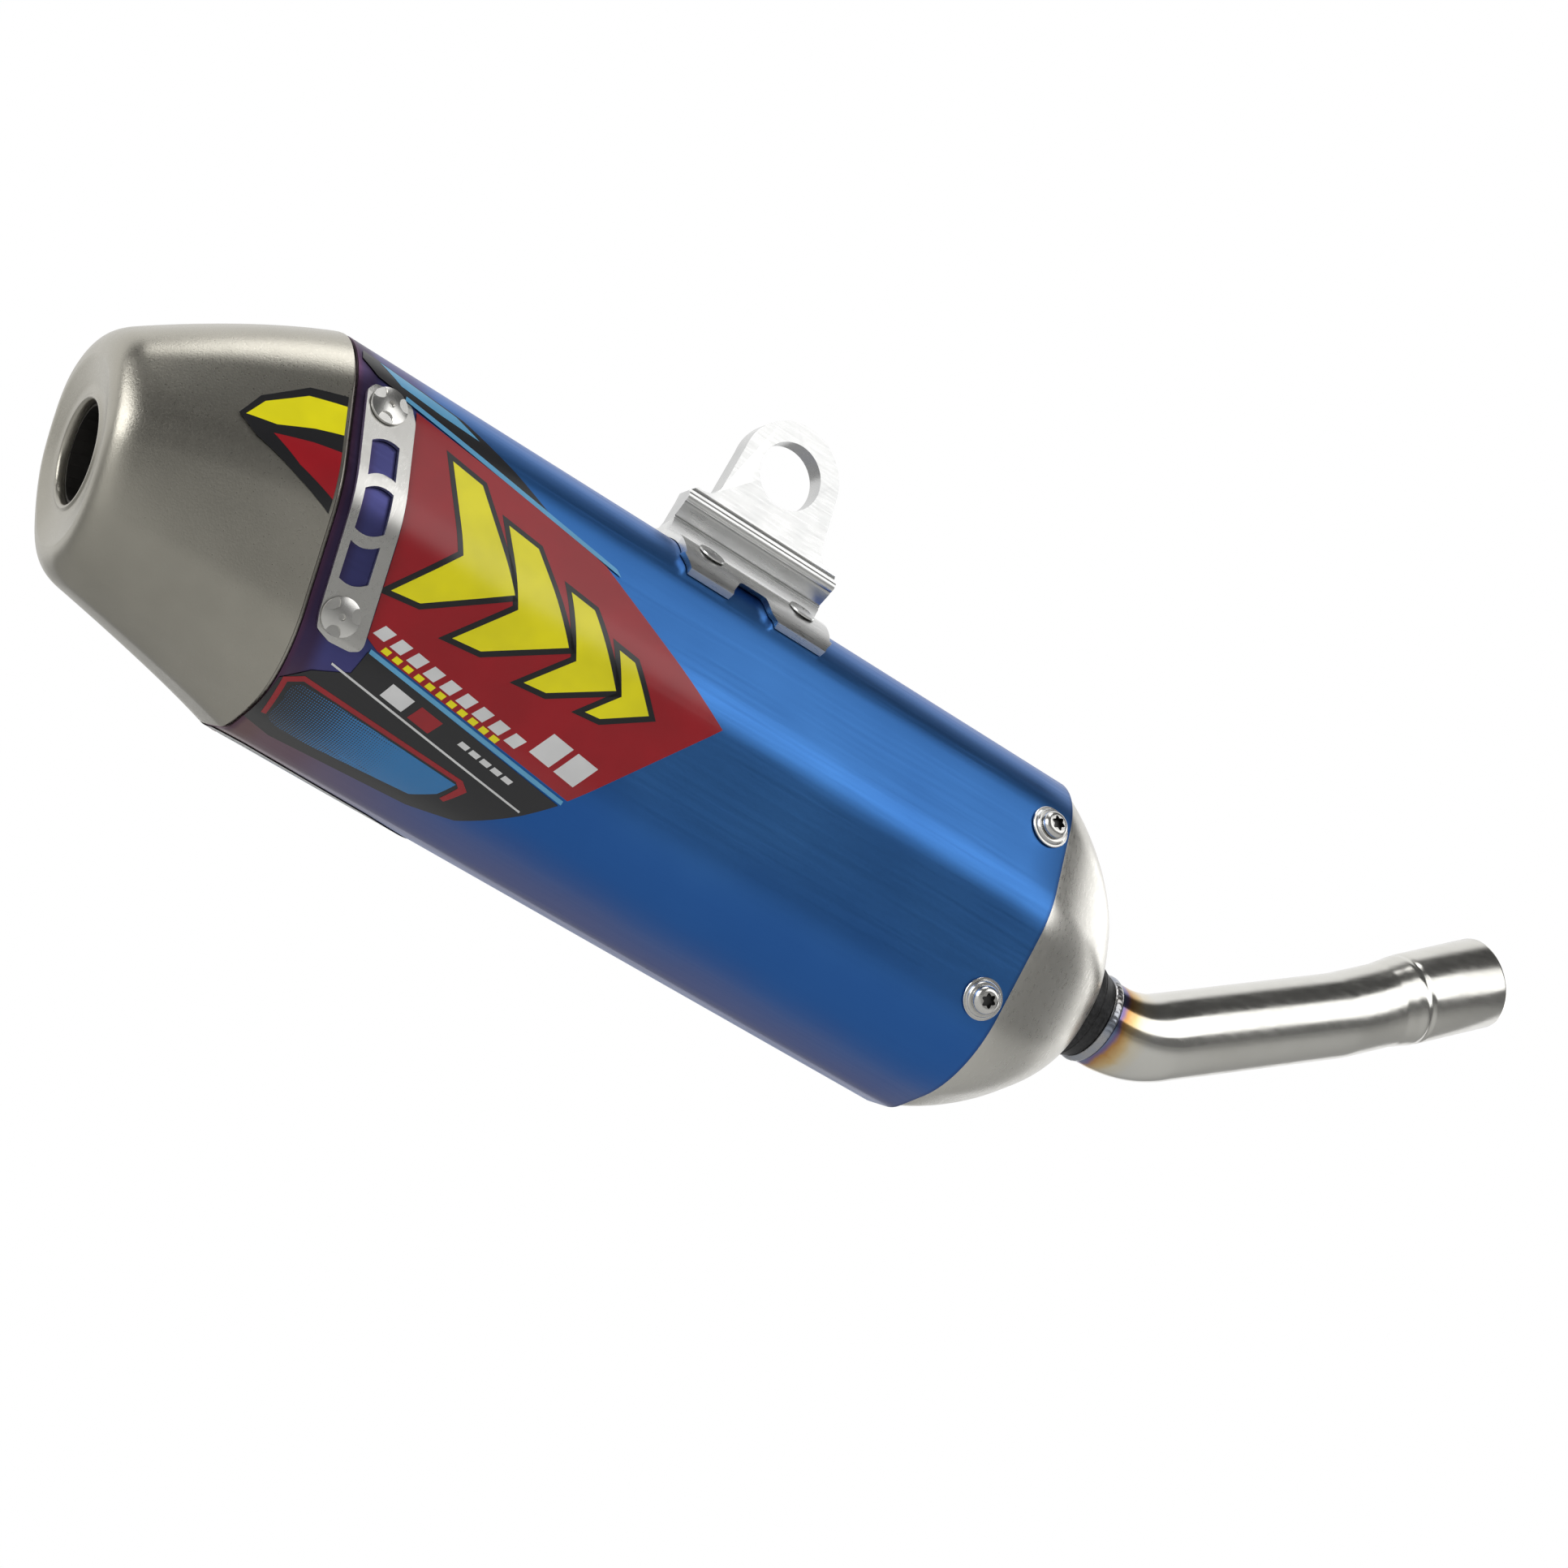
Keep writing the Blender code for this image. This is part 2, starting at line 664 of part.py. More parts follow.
def make_screws(root):
    """Button-head screws on dished washers, into rivet nuts in the cap's skirt."""
    seat = GAP
    under_skirt = -SKIRT_IN - CAP_WALL
    frames = []
    for side in (1, -1):
        for s in SCREW_PLACES:
            frames.append(surface_frame(SCREW_X, side * s, 0.0))
    for k, frame in enumerate(frames):
        washer = [(3.0, seat), (7.45, seat), (7.45, seat + 0.7), (6.4, seat + 1.3),
                  (5.5, seat + 1.9), (3.0, seat + 1.9)]
        bm = bmesh.new()
        rings = []
        for radius, height in washer:
            rings.append([
                frame @ Vector((radius * cos(a) * MM, radius * sin(a) * MM, height * MM))
                for a in (2 * pi * i / 14 for i in range(14))
            ])
        loft(bm, rings, closed=True)
        name = f"screw_washer_{k + 1}"
        add_object(name, mesh_from(bm, name), "stainless", root)

        head = seat + 1.9 + GAP
        profile = [
            (2.2, under_skirt - 4.0), (2.2, head), (4.9, head), (5.0, head + 0.5),
            (4.6, head + 1.7), (3.8, head + 2.5), (3.0, head + 2.7), (2.6, head + 0.9),
        ]
        bm = bmesh.new()
        lathe(bm, profile, frame, 12)
        name = f"cap_screw_{k + 1}"
        add_object(name, mesh_from(bm, name), "stainless", root)

        insert = [(2.5, under_skirt - 6.0), (3.4, under_skirt - 6.0),
                  (3.4, under_skirt - GAP), (2.5, under_skirt - GAP)]
        bm = bmesh.new()
        rings = []
        for radius, height in insert:
            rings.append([
                frame @ Vector((radius * cos(a) * MM, radius * sin(a) * MM, height * MM))
                for a in (2 * pi * i / 12 for i in range(12))
            ])
        loft(bm, rings, closed=True)
        name = f"rivet_nut_{k + 1}"
        add_object(name, mesh_from(bm, name), "stainless", root)
    return frames


def flange_line(start, end, offset):
    """(n, u) points that follow the sleeve from s = start to s = end, offset mm off it."""
    stops = section_breaks(min(start, end), max(start, end))
    if end < start:
        stops = stops[::-1]
    line = []
    for s in [start] + stops + [end]:
        n, u, dn, du = on_section(s)
        line.append((n + dn * offset, u + du * offset))
    return line


def bracket_profile():
    """(n, u) outline of the bracket's extrusion, down the near side and up the far side.

    A lug plate stands over a grooved rail. The rail leans in to a thin web, and two flanges
    follow the sleeve from it.
    """
    near_n, far_n = HANGER[1] + LUG_HALF, HANGER[1] - LUG_HALF
    top = HANGER[2] + LUG_RADIUS + 3.0
    near = [
        (near_n, top), (near_n, 74.8),  # lug face
        (27.1, 74.3), (27.1, 73.1),  # groove under the lug
        (28.5, 72.6), (28.7, 71.2), (27.9, 69.6),  # ridge
        (27.2, 69.4), (26.9, 68.5),  # thin groove
        (23.3, 64.9), (23.8, 64.3), (23.4, 63.7), (23.9, 63.1), (23.6, 61.3),  # twin ridges
    ]
    far = [(15.0, 62.5), (16.2, 63.4), (17.3, 66.0), (19.6, 70.4), (far_n, 75.0), (far_n, top)]
    thick = GAP + 2.7
    return (
        near + flange_line(23.0, 52.0, thick) + flange_line(52.4, -5.4, GAP)
        + flange_line(-5.0, 13.4, thick) + far
    )


def extrude_along_x(bm, outline, low, high):
    a = [bm.verts.new(at(low, n, u)) for n, u in outline]
    b = [bm.verts.new(at(high, n, u)) for n, u in outline]
    bm.faces.new(a)
    bm.faces.new(b)
    for i in range(len(outline)):
        j = (i + 1) % len(outline)
        bm.faces.new((a[i], a[j], b[j], b[i]))


def lug_outline():
    """(x, u) outline seen from the side: round lug, fillets, shoulders, feet and notch."""
    x0, u0 = HANGER[0], HANGER[2]
    low, high = BRACKET_LOW, BRACKET_HIGH
    centre = LUG_FOOT_HALF + LUG_FILLET
    fillet_u = SHOULDER_U + LUG_FILLET
    feet = [
        (low, 46.5), (low + 3.2, 42.0), (low + 5.0, 34.0),
        (-151.0, 34.0), (-150.2, 43.0), (-147.6, 48.2),  # left foot's inner side
        (-136.8, 48.2), (-134.2, 42.6), (-131.5, 41.0), (-130.5, 34.0),  # notch
        (-112.6, 34.0), (-111.6, 42.0), (high, 46.5),
    ]
    return (
        feet
        + [(high, SHOULDER_U - 2.0), (high - 2.0, SHOULDER_U)]
        + arc(x0 + centre, fillet_u, LUG_FILLET, 270, 180, 4)
        + arc(x0, u0, LUG_RADIUS, 0, 180, 18)
        + arc(x0 - centre, fillet_u, LUG_FILLET, 0, -90, 4)
        + [(low + 2.0, SHOULDER_U), (low, SHOULDER_U - 2.0)]
    )


def make_bracket(root):
    bm = bmesh.new()
    extrude_along_x(bm, bracket_profile(), BRACKET_LOW, BRACKET_HIGH)
    bracket = add_object("mount_bracket", mesh_from(bm, "mount_bracket"), "aluminium", root)

    bm = bmesh.new()
    prism(bm, lug_outline(), 80.0, HANGER[1])
    cut(bracket, cutter(bm, "lug_shape", root), "INTERSECT")

    bm = bmesh.new()
    prism(bm, arc(HANGER[0], HANGER[2], HANGER_RADIUS, 0, 345, 23), 30.0, HANGER[1])
    cut(bracket, cutter(bm, "hanger_hole", root))
    return bracket


def make_bracket_rivets(bracket, root):
    grip_gap = GAP + 2.7 + GAP
    frames = [surface_frame(x, s, grip_gap) for s in BRACKET_RIVET_S for x in BRACKET_RIVET_X]
    for k, frame in enumerate(frames):
        name = f"bracket_rivet_{k + 1}"
        make_rivet(name, frame, 5.0, 1.2, grip_gap + SLEEVE_WALL, "aluminium", root)
    return frames


def sleeve_decal_outline():
    """(x, s) outline of the side graphic on the sleeve. It goes round the strap."""
    return [
        (-296.5, 39.0), (-258.0, 42.0), (-216.0, 57.0), (-176.0, 76.0), (-138.5, 97.5),
        (-173.5, 143.0), (-183.5, 156.0), (-198.0, 171.0), (-213.5, 177.5), (-262.0, 182.0),
        (-272.0, 178.5), (-274.5, 155.0), (-267.0, 148.0), (-255.0, 140.0), (-255.5, 134.0),
        (-260.0, 114.0), (-264.0, 95.0), (-269.0, 72.0), (-272.5, 55.0), (-280.0, 51.0),
        (-290.0, 51.0), (-296.5, 45.0),
    ]


def cap_decal_outline():
    """(share, s) outline of the graphic's tail on the outlet cap."""
    return [
        (0.02, 62.0), (0.2, 60.0), (0.42, 66.0), (0.5, 76.0), (0.42, 88.0), (0.2, 100.0),
        (0.02, 108.0),
    ]


def on_cap(share, s, offset):
    """A point over the outlet cap's side."""
    upper = max(k for k, row in enumerate(CAP_SIDE[:-1]) if row[0] <= share)
    a, b = CAP_SIDE[upper], CAP_SIDE[upper + 1]
    part = (share - a[0]) / (b[0] - a[0])
    station = on_section(s)
    return cap_spot(station, a, SKIRT_IN, offset).lerp(
        cap_spot(station, b, SKIRT_IN, offset), part
    )


def make_decals(root):
    for side, word in ((1, "right"), (-1, "left")):
        mirror = lambda loop: [(a, side * b) for a, b in loop][::side]
        wrapped_sheet(
            f"sleeve_decal_{word}", mirror(sleeve_decal_outline()), GAP, GAP + 0.25,
            on_sleeve, section_breaks(-PERIMETER / 2, PERIMETER / 2), "red", root,
        )
        wrapped_sheet(
            f"cap_decal_{word}", mirror(cap_decal_outline()), 0.5, 0.8, on_cap,
            section_breaks(-PERIMETER / 2, PERIMETER / 2), "red", root,
            rows=[row[0] for row in CAP_SIDE[1:]],
        )


def build():
    clear_scene()
    root = bpy.data.objects.new("silencer", None)
    root.location = -at(*HANGER)
    bpy.context.collection.objects.link(root)

    sleeve = make_sleeve(root)
    inlet_cap = make_inlet_cap(root)
    outlet_cap = make_outlet_cap(root)
    make_outlet_tube(root)
    make_core(root)
    packing = make_packing(root)
    make_neck_collar(root)
    make_weld_bead(root)
    make_inlet_pipe(root)
    make_straps(root)
    strap_frames = make_strap_rivets(root)
    screw_frames = make_screws(root)
    bracket = make_bracket(root)
    bracket_frames = make_bracket_rivets(bracket, root)
    make_decals(root)

    rivet_drill = drill(strap_frames, 2.75, 12.0, "strap_rivet_holes", root)
    cut(sleeve, rivet_drill)
    cut(outlet_cap, rivet_drill)
    screw_drill = drill(screw_frames, 2.6, 10.0, "screw_holes", root)
    cut(sleeve, screw_drill)
    cut(inlet_cap, screw_drill)
    bracket_drill = drill(bracket_frames, 2.75, 12.0, "bracket_rivet_holes", root)
    cut(sleeve, bracket_drill)
    cut(bracket, bracket_drill)
    cut(packing, drill(bracket_frames, 3.8, 10.0, "rivet_tail_room", root))
    bpy.context.view_layer.update()


build()
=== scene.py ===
"""Visual model of a two-stroke motorcycle silencer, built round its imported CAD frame.

Shapes are written in the can frame, in millimetres: x = 0 is the inlet rim of the sleeve,
n is the distance out to the right (-Y) from the can's mid-plane, and u is the height.
at() turns them into world metres, where the origin is the centre of the hanger hole.
"""
from math import atan2, ceil, cos, hypot, pi, radians, sin, tan

import bmesh
import bpy
from mathutils import Matrix, Vector
from mathutils.geometry import tessellate_polygon


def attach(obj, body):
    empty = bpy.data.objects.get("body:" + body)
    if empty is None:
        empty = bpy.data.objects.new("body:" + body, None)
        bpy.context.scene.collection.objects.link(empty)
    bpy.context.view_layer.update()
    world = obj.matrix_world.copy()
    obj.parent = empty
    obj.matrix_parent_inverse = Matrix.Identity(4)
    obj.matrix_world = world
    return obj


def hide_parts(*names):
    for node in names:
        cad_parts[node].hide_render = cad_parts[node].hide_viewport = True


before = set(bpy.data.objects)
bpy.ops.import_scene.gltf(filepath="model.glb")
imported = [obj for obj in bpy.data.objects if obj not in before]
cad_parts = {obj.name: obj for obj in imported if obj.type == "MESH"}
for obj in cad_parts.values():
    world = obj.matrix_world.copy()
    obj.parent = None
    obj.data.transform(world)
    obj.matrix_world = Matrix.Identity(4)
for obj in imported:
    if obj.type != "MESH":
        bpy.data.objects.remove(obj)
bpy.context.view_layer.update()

MM = 0.001
GAP = 0.3

# ---- dimensions shared with the CAD part, mm -------------------------------------------
SECTION_CORNERS = [
    (0.0, 65.9, 75.0), (43.7, 48.2, 31.0), (55.9, -1.1, 36.0), (40.3, -62.1, 38.0),
    (0.0, -70.8, 20.0),
]
SLEEVE_WALL = 1.0
CUT_X, CUT_SLOPE = -288.3, 0.219
AXIS_U = -4.6
SKIRT_IN = SLEEVE_WALL + GAP
CAP_WALL = 1.2
SKIRT_LENGTH = 17.0
DOME_LENGTH, NECK_RADIUS = 49.3, 17.0
OUTLET_CENTRE, OUTLET_TILT, OUTLET_RADIUS = (-353.1, -15.4), radians(15.0), 17.0
FACE_X = OUTLET_CENTRE[0] - 3.4 / cos(OUTLET_TILT)
CAP_SIDE = [(0.012, 1.0, 0.0), (0.02, 1.02, 0.0), (0.18, 0.955, 0.014),
            (0.4, 0.867, 0.08), (0.64, 0.77, 0.216), (0.86, 0.68, 0.403)]
EDGE_CORNER, EDGE_FACE = (1.0, 0.624, 0.465), (1.0, 0.5, 0.62)
CAP_DROP, CAP_DROP_POWER = -11.5, 1.44  # how the cap's middle sinks towards the outlet
ROUND_RADIUS = 59.0
PIPE_RADIUS, PIPE_WALL, PIPE_START = 16.0, 1.2, 63.5
BEND_1 = (67.2, 44.0, radians(32.3))
BEND_2_RADIUS, BEND_2_POINT = 60.0, (160.0, 46.1)
END_ANGLE, END_LENGTH = radians(37.0), 70.7
SWAGE_GROWTH = 1.35
HANGER, HANGER_RADIUS = (-139.8, 24.65, 97.6), 12.0
LUG_RADIUS, LUG_HALF, LUG_FOOT_HALF, LUG_FILLET = 19.3, 3.65, 21.2, 6.0
SHOULDER_U = 75.6
BRACKET_LOW, BRACKET_HIGH = -171.3, -108.8
BRACKET_RIVET_X, BRACKET_RIVET_S = (-158.9, -120.8), (37.4, 4.2)
STRAP_GAP, STRAP_WIDTH, STRAP_SPAN, STRAP_THICK = 3.4, 17.8, (54.8, 138.0), 1.5
STRAP_RIVET_ACROSS, STRAP_RIVETS = 10.8, (60.8, 129.8)
SCREW_X, SCREW_PLACES = -8.8, (62.9, 130.2)
FLANGE_THICK = 2.7
STRAP_HEAD, BRACKET_HEAD = (6.5, 1.9), (5.0, 1.2)  # radius and height of the rivet heads

# ---- dimensions of the visual model only, mm -------------------------------------------
RIM_SHARE = 0.55  # how much of a rivet head's height its rim has
CUTTER_DEPTH = 4.0
SOCKET_RADIUS, WASHER_HEIGHT = 2.75, 1.9
TINT_LENGTH = 16.0  # reach of the heat tint beside the weld
DOT_PITCH = 1.25

# ---- studio, m -------------------------------------------------------------------------
FLOOR_RADIUS, FLOOR_Z = 7.0, -0.62
CAMERA_RIGHT, CAMERA_BACK = (0.7854, -0.5063, 0.3560), (-0.3970, -0.8534, -0.3378)
CAMERA_PLACE, CAMERA_LENS = (-0.46106, -1.08356, -0.52478), 86.7


def at(x, n, u):
    return Vector((x - HANGER[0], HANGER[1] - n, u - HANGER[2])) * MM


# ---- mesh helpers ----------------------------------------------------------------------
def finish_mesh(bm, name, materials, sharp=30):
    bmesh.ops.remove_doubles(bm, verts=bm.verts, dist=1e-7)
    bmesh.ops.recalc_face_normals(bm, faces=bm.faces)
    mesh = bpy.data.meshes.new(name)
    bm.to_mesh(mesh)
    bm.free()
    for m in materials:
        mesh.materials.append(m)
    mesh.shade_smooth()
    mesh.set_sharp_from_angle(angle=radians(sharp))
    thing = bpy.data.objects.new(name, mesh)
    bpy.context.collection.objects.link(thing)
    return thing


def piece(thing, slot, *nodes):
    """Puts a mesh on the body and lets it stand in for CAD nodes."""
    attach(thing, "root")
    if nodes:
        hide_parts(*nodes)
    return thing


def loft(bm, rings, closed=False):
    """Joins rings of points with quads; closed also joins the last to the first."""
    loops = [[bm.verts.new(p) for p in ring] for ring in rings]
    pairs = list(zip(loops, loops[1:])) + ([(loops[-1], loops[0])] if closed else [])
    for a, b in pairs:
        for i in range(len(a)):
            j = (i + 1) % len(a)
            bm.faces.new((a[i], a[j], b[j], b[i]))
    return loops


def shell(name, outer, inner, mat, sharp=30):
    bm = bmesh.new()
    loft(bm, outer + inner[::-1], closed=True)
    return finish_mesh(bm, name, [mat], sharp)


def lathe_rings(profile, place, steps):
    return [
        [place @ Vector((r * cos(a) * MM, r * sin(a) * MM, h * MM))
         for a in (2 * pi * k / steps for k in range(steps))]
        for r, h in profile
    ]


def lathe(bm, profile, place, steps):
    """A solid turned about place's Z from (radius, height) rows."""
    loops = loft(bm, lathe_rings(profile, place, steps))
    bm.faces.new(loops[0])
    bm.faces.new(loops[-1])


def capped(bm, rings):
    """Lofts rings and closes both ends."""
    loops = [[bm.verts.new(p) for p in ring] for ring in rings]
    bm.faces.new(loops[0])
    bm.faces.new(loops[-1])
    for a, b in zip(loops, loops[1:]):
        for i in range(len(a)):
            j = (i + 1) % len(a)
            bm.faces.new((a[i], a[j], b[j], b[i]))


def prism(bm, outline, place, low, high):
    """Extrudes (a, b) points of place's XY plane along its Z."""
    capped(bm, [[place @ (Vector((a, b, z)) * MM) for a, b in outline] for z in (low, high)])


def boolean(target, bm, operation="DIFFERENCE"):
    """Applies one Boolean, and removes its cutter."""
    tool = finish_mesh(bm, "cutter", [])
    mod = target.modifiers.new("cut", "BOOLEAN")
    mod.operation, mod.solver, mod.object = operation, "EXACT", tool
    apply_modifiers(target)
    bpy.data.objects.remove(tool, do_unlink=True)


def apply_modifiers(thing):
    bpy.context.view_layer.update()
    done = thing.evaluated_get(bpy.context.evaluated_depsgraph_get())
    mesh = bpy.data.meshes.new_from_object(done)
    thing.modifiers.clear()
    old, thing.data = thing.data, mesh
    bpy.data.meshes.remove(old)


def bevel(thing, width, angle):
    """Rounds the edges sharper than an angle."""
    mod = thing.modifiers.new("edges", "BEVEL")
    mod.width, mod.segments = width * MM, 2
    mod.limit_method, mod.angle_limit = "ANGLE", radians(angle)
    apply_modifiers(thing)
    flatten_normals(thing, 48)


def flatten_normals(thing, sharp):
    """Keeps flat faces flat beside their bevels."""
    thing.data.shade_smooth()
    thing.data.set_sharp_from_angle(angle=radians(sharp))
    mod = thing.modifiers.new("normals", "WEIGHTED_NORMAL")
    mod.keep_sharp, mod.weight = True, 100
    apply_modifiers(thing)


def arc(cx, cy, radius, start, end, steps):
    return [(cx + radius * cos(radians(start + (end - start) * k / steps)),
             cy + radius * sin(radians(start + (end - start) * k / steps)))
            for k in range(steps + 1)]


def smooth_rows(rows, rounds):
    """Cuts the corners of a list of rows, and keeps its ends."""
    for _ in range(rounds):
        cut = [rows[0]]
        for a, b in zip(rows, rows[1:]):
            cut.append(tuple(p * 0.75 + q * 0.25 for p, q in zip(a, b)))
            cut.append(tuple(p * 0.25 + q * 0.75 for p, q in zip(a, b)))
        rows = cut + [rows[-1]]
    return rows


# ---- the can's section -----------------------------------------------------------------
def section_stations(step=radians(4), flat_step=5.0):
    """(n, u, normal n, normal u, s) round the section, clockwise from the top centre."""
    half = SECTION_CORNERS
    corners = half + [(-n, u, r) for n, u, r in half[-2:0:-1]]
    points = []
    for i, (n, u, radius) in enumerate(corners):
        before, after = corners[i - 1], corners[(i + 1) % len(corners)]
        heading_in = atan2(u - before[1], n - before[0])
        heading_out = atan2(after[1] - u, after[0] - n)
        turn = (heading_out - heading_in + pi) % (2 * pi) - pi
        reach = radius * tan(abs(turn) / 2)
        start = (n - reach * cos(heading_in), u - reach * sin(heading_in))
        centre = (start[0] + radius * sin(heading_in), start[1] - radius * cos(heading_in))
        steps = max(2, 2 * round(abs(turn) / step / 2))
        for k in range(steps + 1):
            normal = heading_in + turn * k / steps + pi / 2
            points.append((centre[0] + radius * cos(normal), centre[1] + radius * sin(normal),
                           cos(normal), sin(normal)))
    top = min(range(len(points)), key=lambda k: hypot(points[k][0], points[k][1] - half[0][1]))
    points = points[top:] + points[:top]
    dense = []
    for k, p in enumerate(points):
        q = points[(k + 1) % len(points)]
        pieces = max(1, ceil(hypot(q[0] - p[0], q[1] - p[1]) / flat_step))
        for i in range(pieces):
            dense.append(tuple(a + (b - a) * i / pieces for a, b in zip(p, q)))
    stations, s = [], 0.0
    for k, p in enumerate(dense):
        if k:
            s += hypot(p[0] - dense[k - 1][0], p[1] - dense[k - 1][1])
        stations.append((*p, s))
    return stations


STATIONS = section_stations()
PERIMETER = STATIONS[-1][4] + hypot(STATIONS[0][0] - STATIONS[-1][0],
                                    STATIONS[0][1] - STATIONS[-1][1])


def on_section(s):
    s %= PERIMETER
    following = [(*STATIONS[0][:4], PERIMETER)]
    for a, b in zip(STATIONS, STATIONS[1:] + following):
        if a[4] <= s <= b[4]:
            share = (s - a[4]) / (b[4] - a[4])
            return tuple(p + (q - p) * share for p, q in zip(a[:4], b[:4]))


def section_ring(x_of_u, offset):
    ring = []
    for n, u, dn, du, _ in STATIONS:
        height = u + du * offset
        ring.append(at(x_of_u(height), n + dn * offset, height))
    return ring


def cut_x(u):
    return CUT_X - CUT_SLOPE * u


def on_sleeve(x, s, offset):
    n, u, dn, du = on_section(s)
    return at(x, n + dn * offset, u + du * offset)


def surface_frame(x, s, offset):
    n, u, dn, du = on_section(s)
    z_axis = Vector((0, -dn, du)).normalized()
    x_axis = Vector((1, 0, 0))
    place = Matrix((x_axis, z_axis.cross(x_axis), z_axis)).transposed().to_4x4()
    place.translation = at(x, n + dn * offset, u + du * offset)
    return place


def section_breaks(low, high):
    values = [p[4] for p in STATIONS] + [p[4] - PERIMETER for p in STATIONS]
    return sorted(v for v in values if low < v < high)


# ---- node materials --------------------------------------------------------------------
def node(tree, kind, inputs=(), **settings):
    made = tree.nodes.new("ShaderNode" + kind)
    for key, value in settings.items():
        setattr(made, key, value)
    for key, value in dict(inputs).items():
        if isinstance(value, bpy.types.NodeSocket):
            tree.links.new(value, made.inputs[key])
        else:
            made.inputs[key].default_value = value
    return made


def blank(name, colour, rough, metallic=1.0):
    mat = bpy.data.materials.new(name)
    mat.use_nodes = True
    shader = mat.node_tree.nodes["Principled BSDF"]
    shader.inputs["Base Color"].default_value = (*colour, 1)
    shader.inputs["Roughness"].default_value = rough
    shader.inputs["Metallic"].default_value = metallic
    mat.diffuse_color = (*colour, 1)
    return mat, mat.node_tree, shader


def noise(tree, scale, stretch=(1, 1, 1), detail=3.0, rough=0.55):
    spot = node(tree, "TexCoord").outputs["Object"]
    spot = node(tree, "Mapping", {"Vector": spot, "Scale": stretch}).outputs[0]
    return node(tree, "TexNoise", {"Vector": spot, "Scale": scale, "Detail": detail,
                                   "Roughness": rough}).outputs["Fac"]


def remap(tree, value, low, high, to_low=0.0, to_high=1.0, smooth=False):
    made = node(tree, "MapRange", {"Value": value, "From Min": low, "From Max": high,
                                   "To Min": to_low, "To Max": to_high})
    if smooth:
        made.interpolation_type = "SMOOTHSTEP"
    return made.outputs["Result"]


def blend_colour(tree, share, a, b):
    made = node(tree, "Mix", data_type="RGBA")
    for socket, value in zip((made.inputs[0], made.inputs[6], made.inputs[7]), (share, a, b)):
        if isinstance(value, bpy.types.NodeSocket):
            tree.links.new(value, socket)
        else:
            socket.default_value = (*value, 1) if isinstance(value, tuple) else value
    return made.outputs[2]


def times(tree, a, b, operation="MULTIPLY"):
    """a times b, or another sum of the two."""
    return node(tree, "Math", {0: a, 1: b}, operation=operation).outputs[0]


def attribute(tree, name):
    return node(tree, "Attribute", attribute_name=name).outputs["Fac"]


def bump(tree, shader, height, strength, distance):
    made = node(tree, "Bump", {"Height": height, "Strength": strength, "Distance": distance})
    tree.links.new(made.outputs[0], shader.inputs["Normal"])


def metal(name, colour, rough, stretch=(1, 1, 1), grain=900.0, depth=0.25, spread=0.12,
          tint=None, edge_wear=0.0, blotch=14.0):
    """Bare metal: fine grain in bump and roughness, slow blotches of tint, wear on edges."""
    mat, tree, shader = blank(name, colour, rough)
    fine = noise(tree, grain, stretch, 4.0, 0.6)
    slow = noise(tree, blotch, (1, 1, 1), 4.0, 0.6)
    other = tint or tuple(c * 0.78 for c in colour)
    base = blend_colour(tree, remap(tree, slow, 0.35, 0.7), colour, other)
    if edge_wear:
        ridge = node(tree, "NewGeometry").outputs["Pointiness"]
        worn = times(tree, remap(tree, ridge, 0.52, 0.58), edge_wear)
        base = blend_colour(tree, worn, base, (0.92, 0.92, 0.9))
    tree.links.new(base, shader.inputs["Base Color"])
    mixed = times(tree, times(tree, fine, 0.7), times(tree, slow, 0.3), "ADD")
    tree.links.new(remap(tree, mixed, 0.3, 0.7, rough - spread / 2, rough + spread / 2),
                   shader.inputs["Roughness"])
    bump(tree, shader, fine, depth, 0.00006)
    return mat


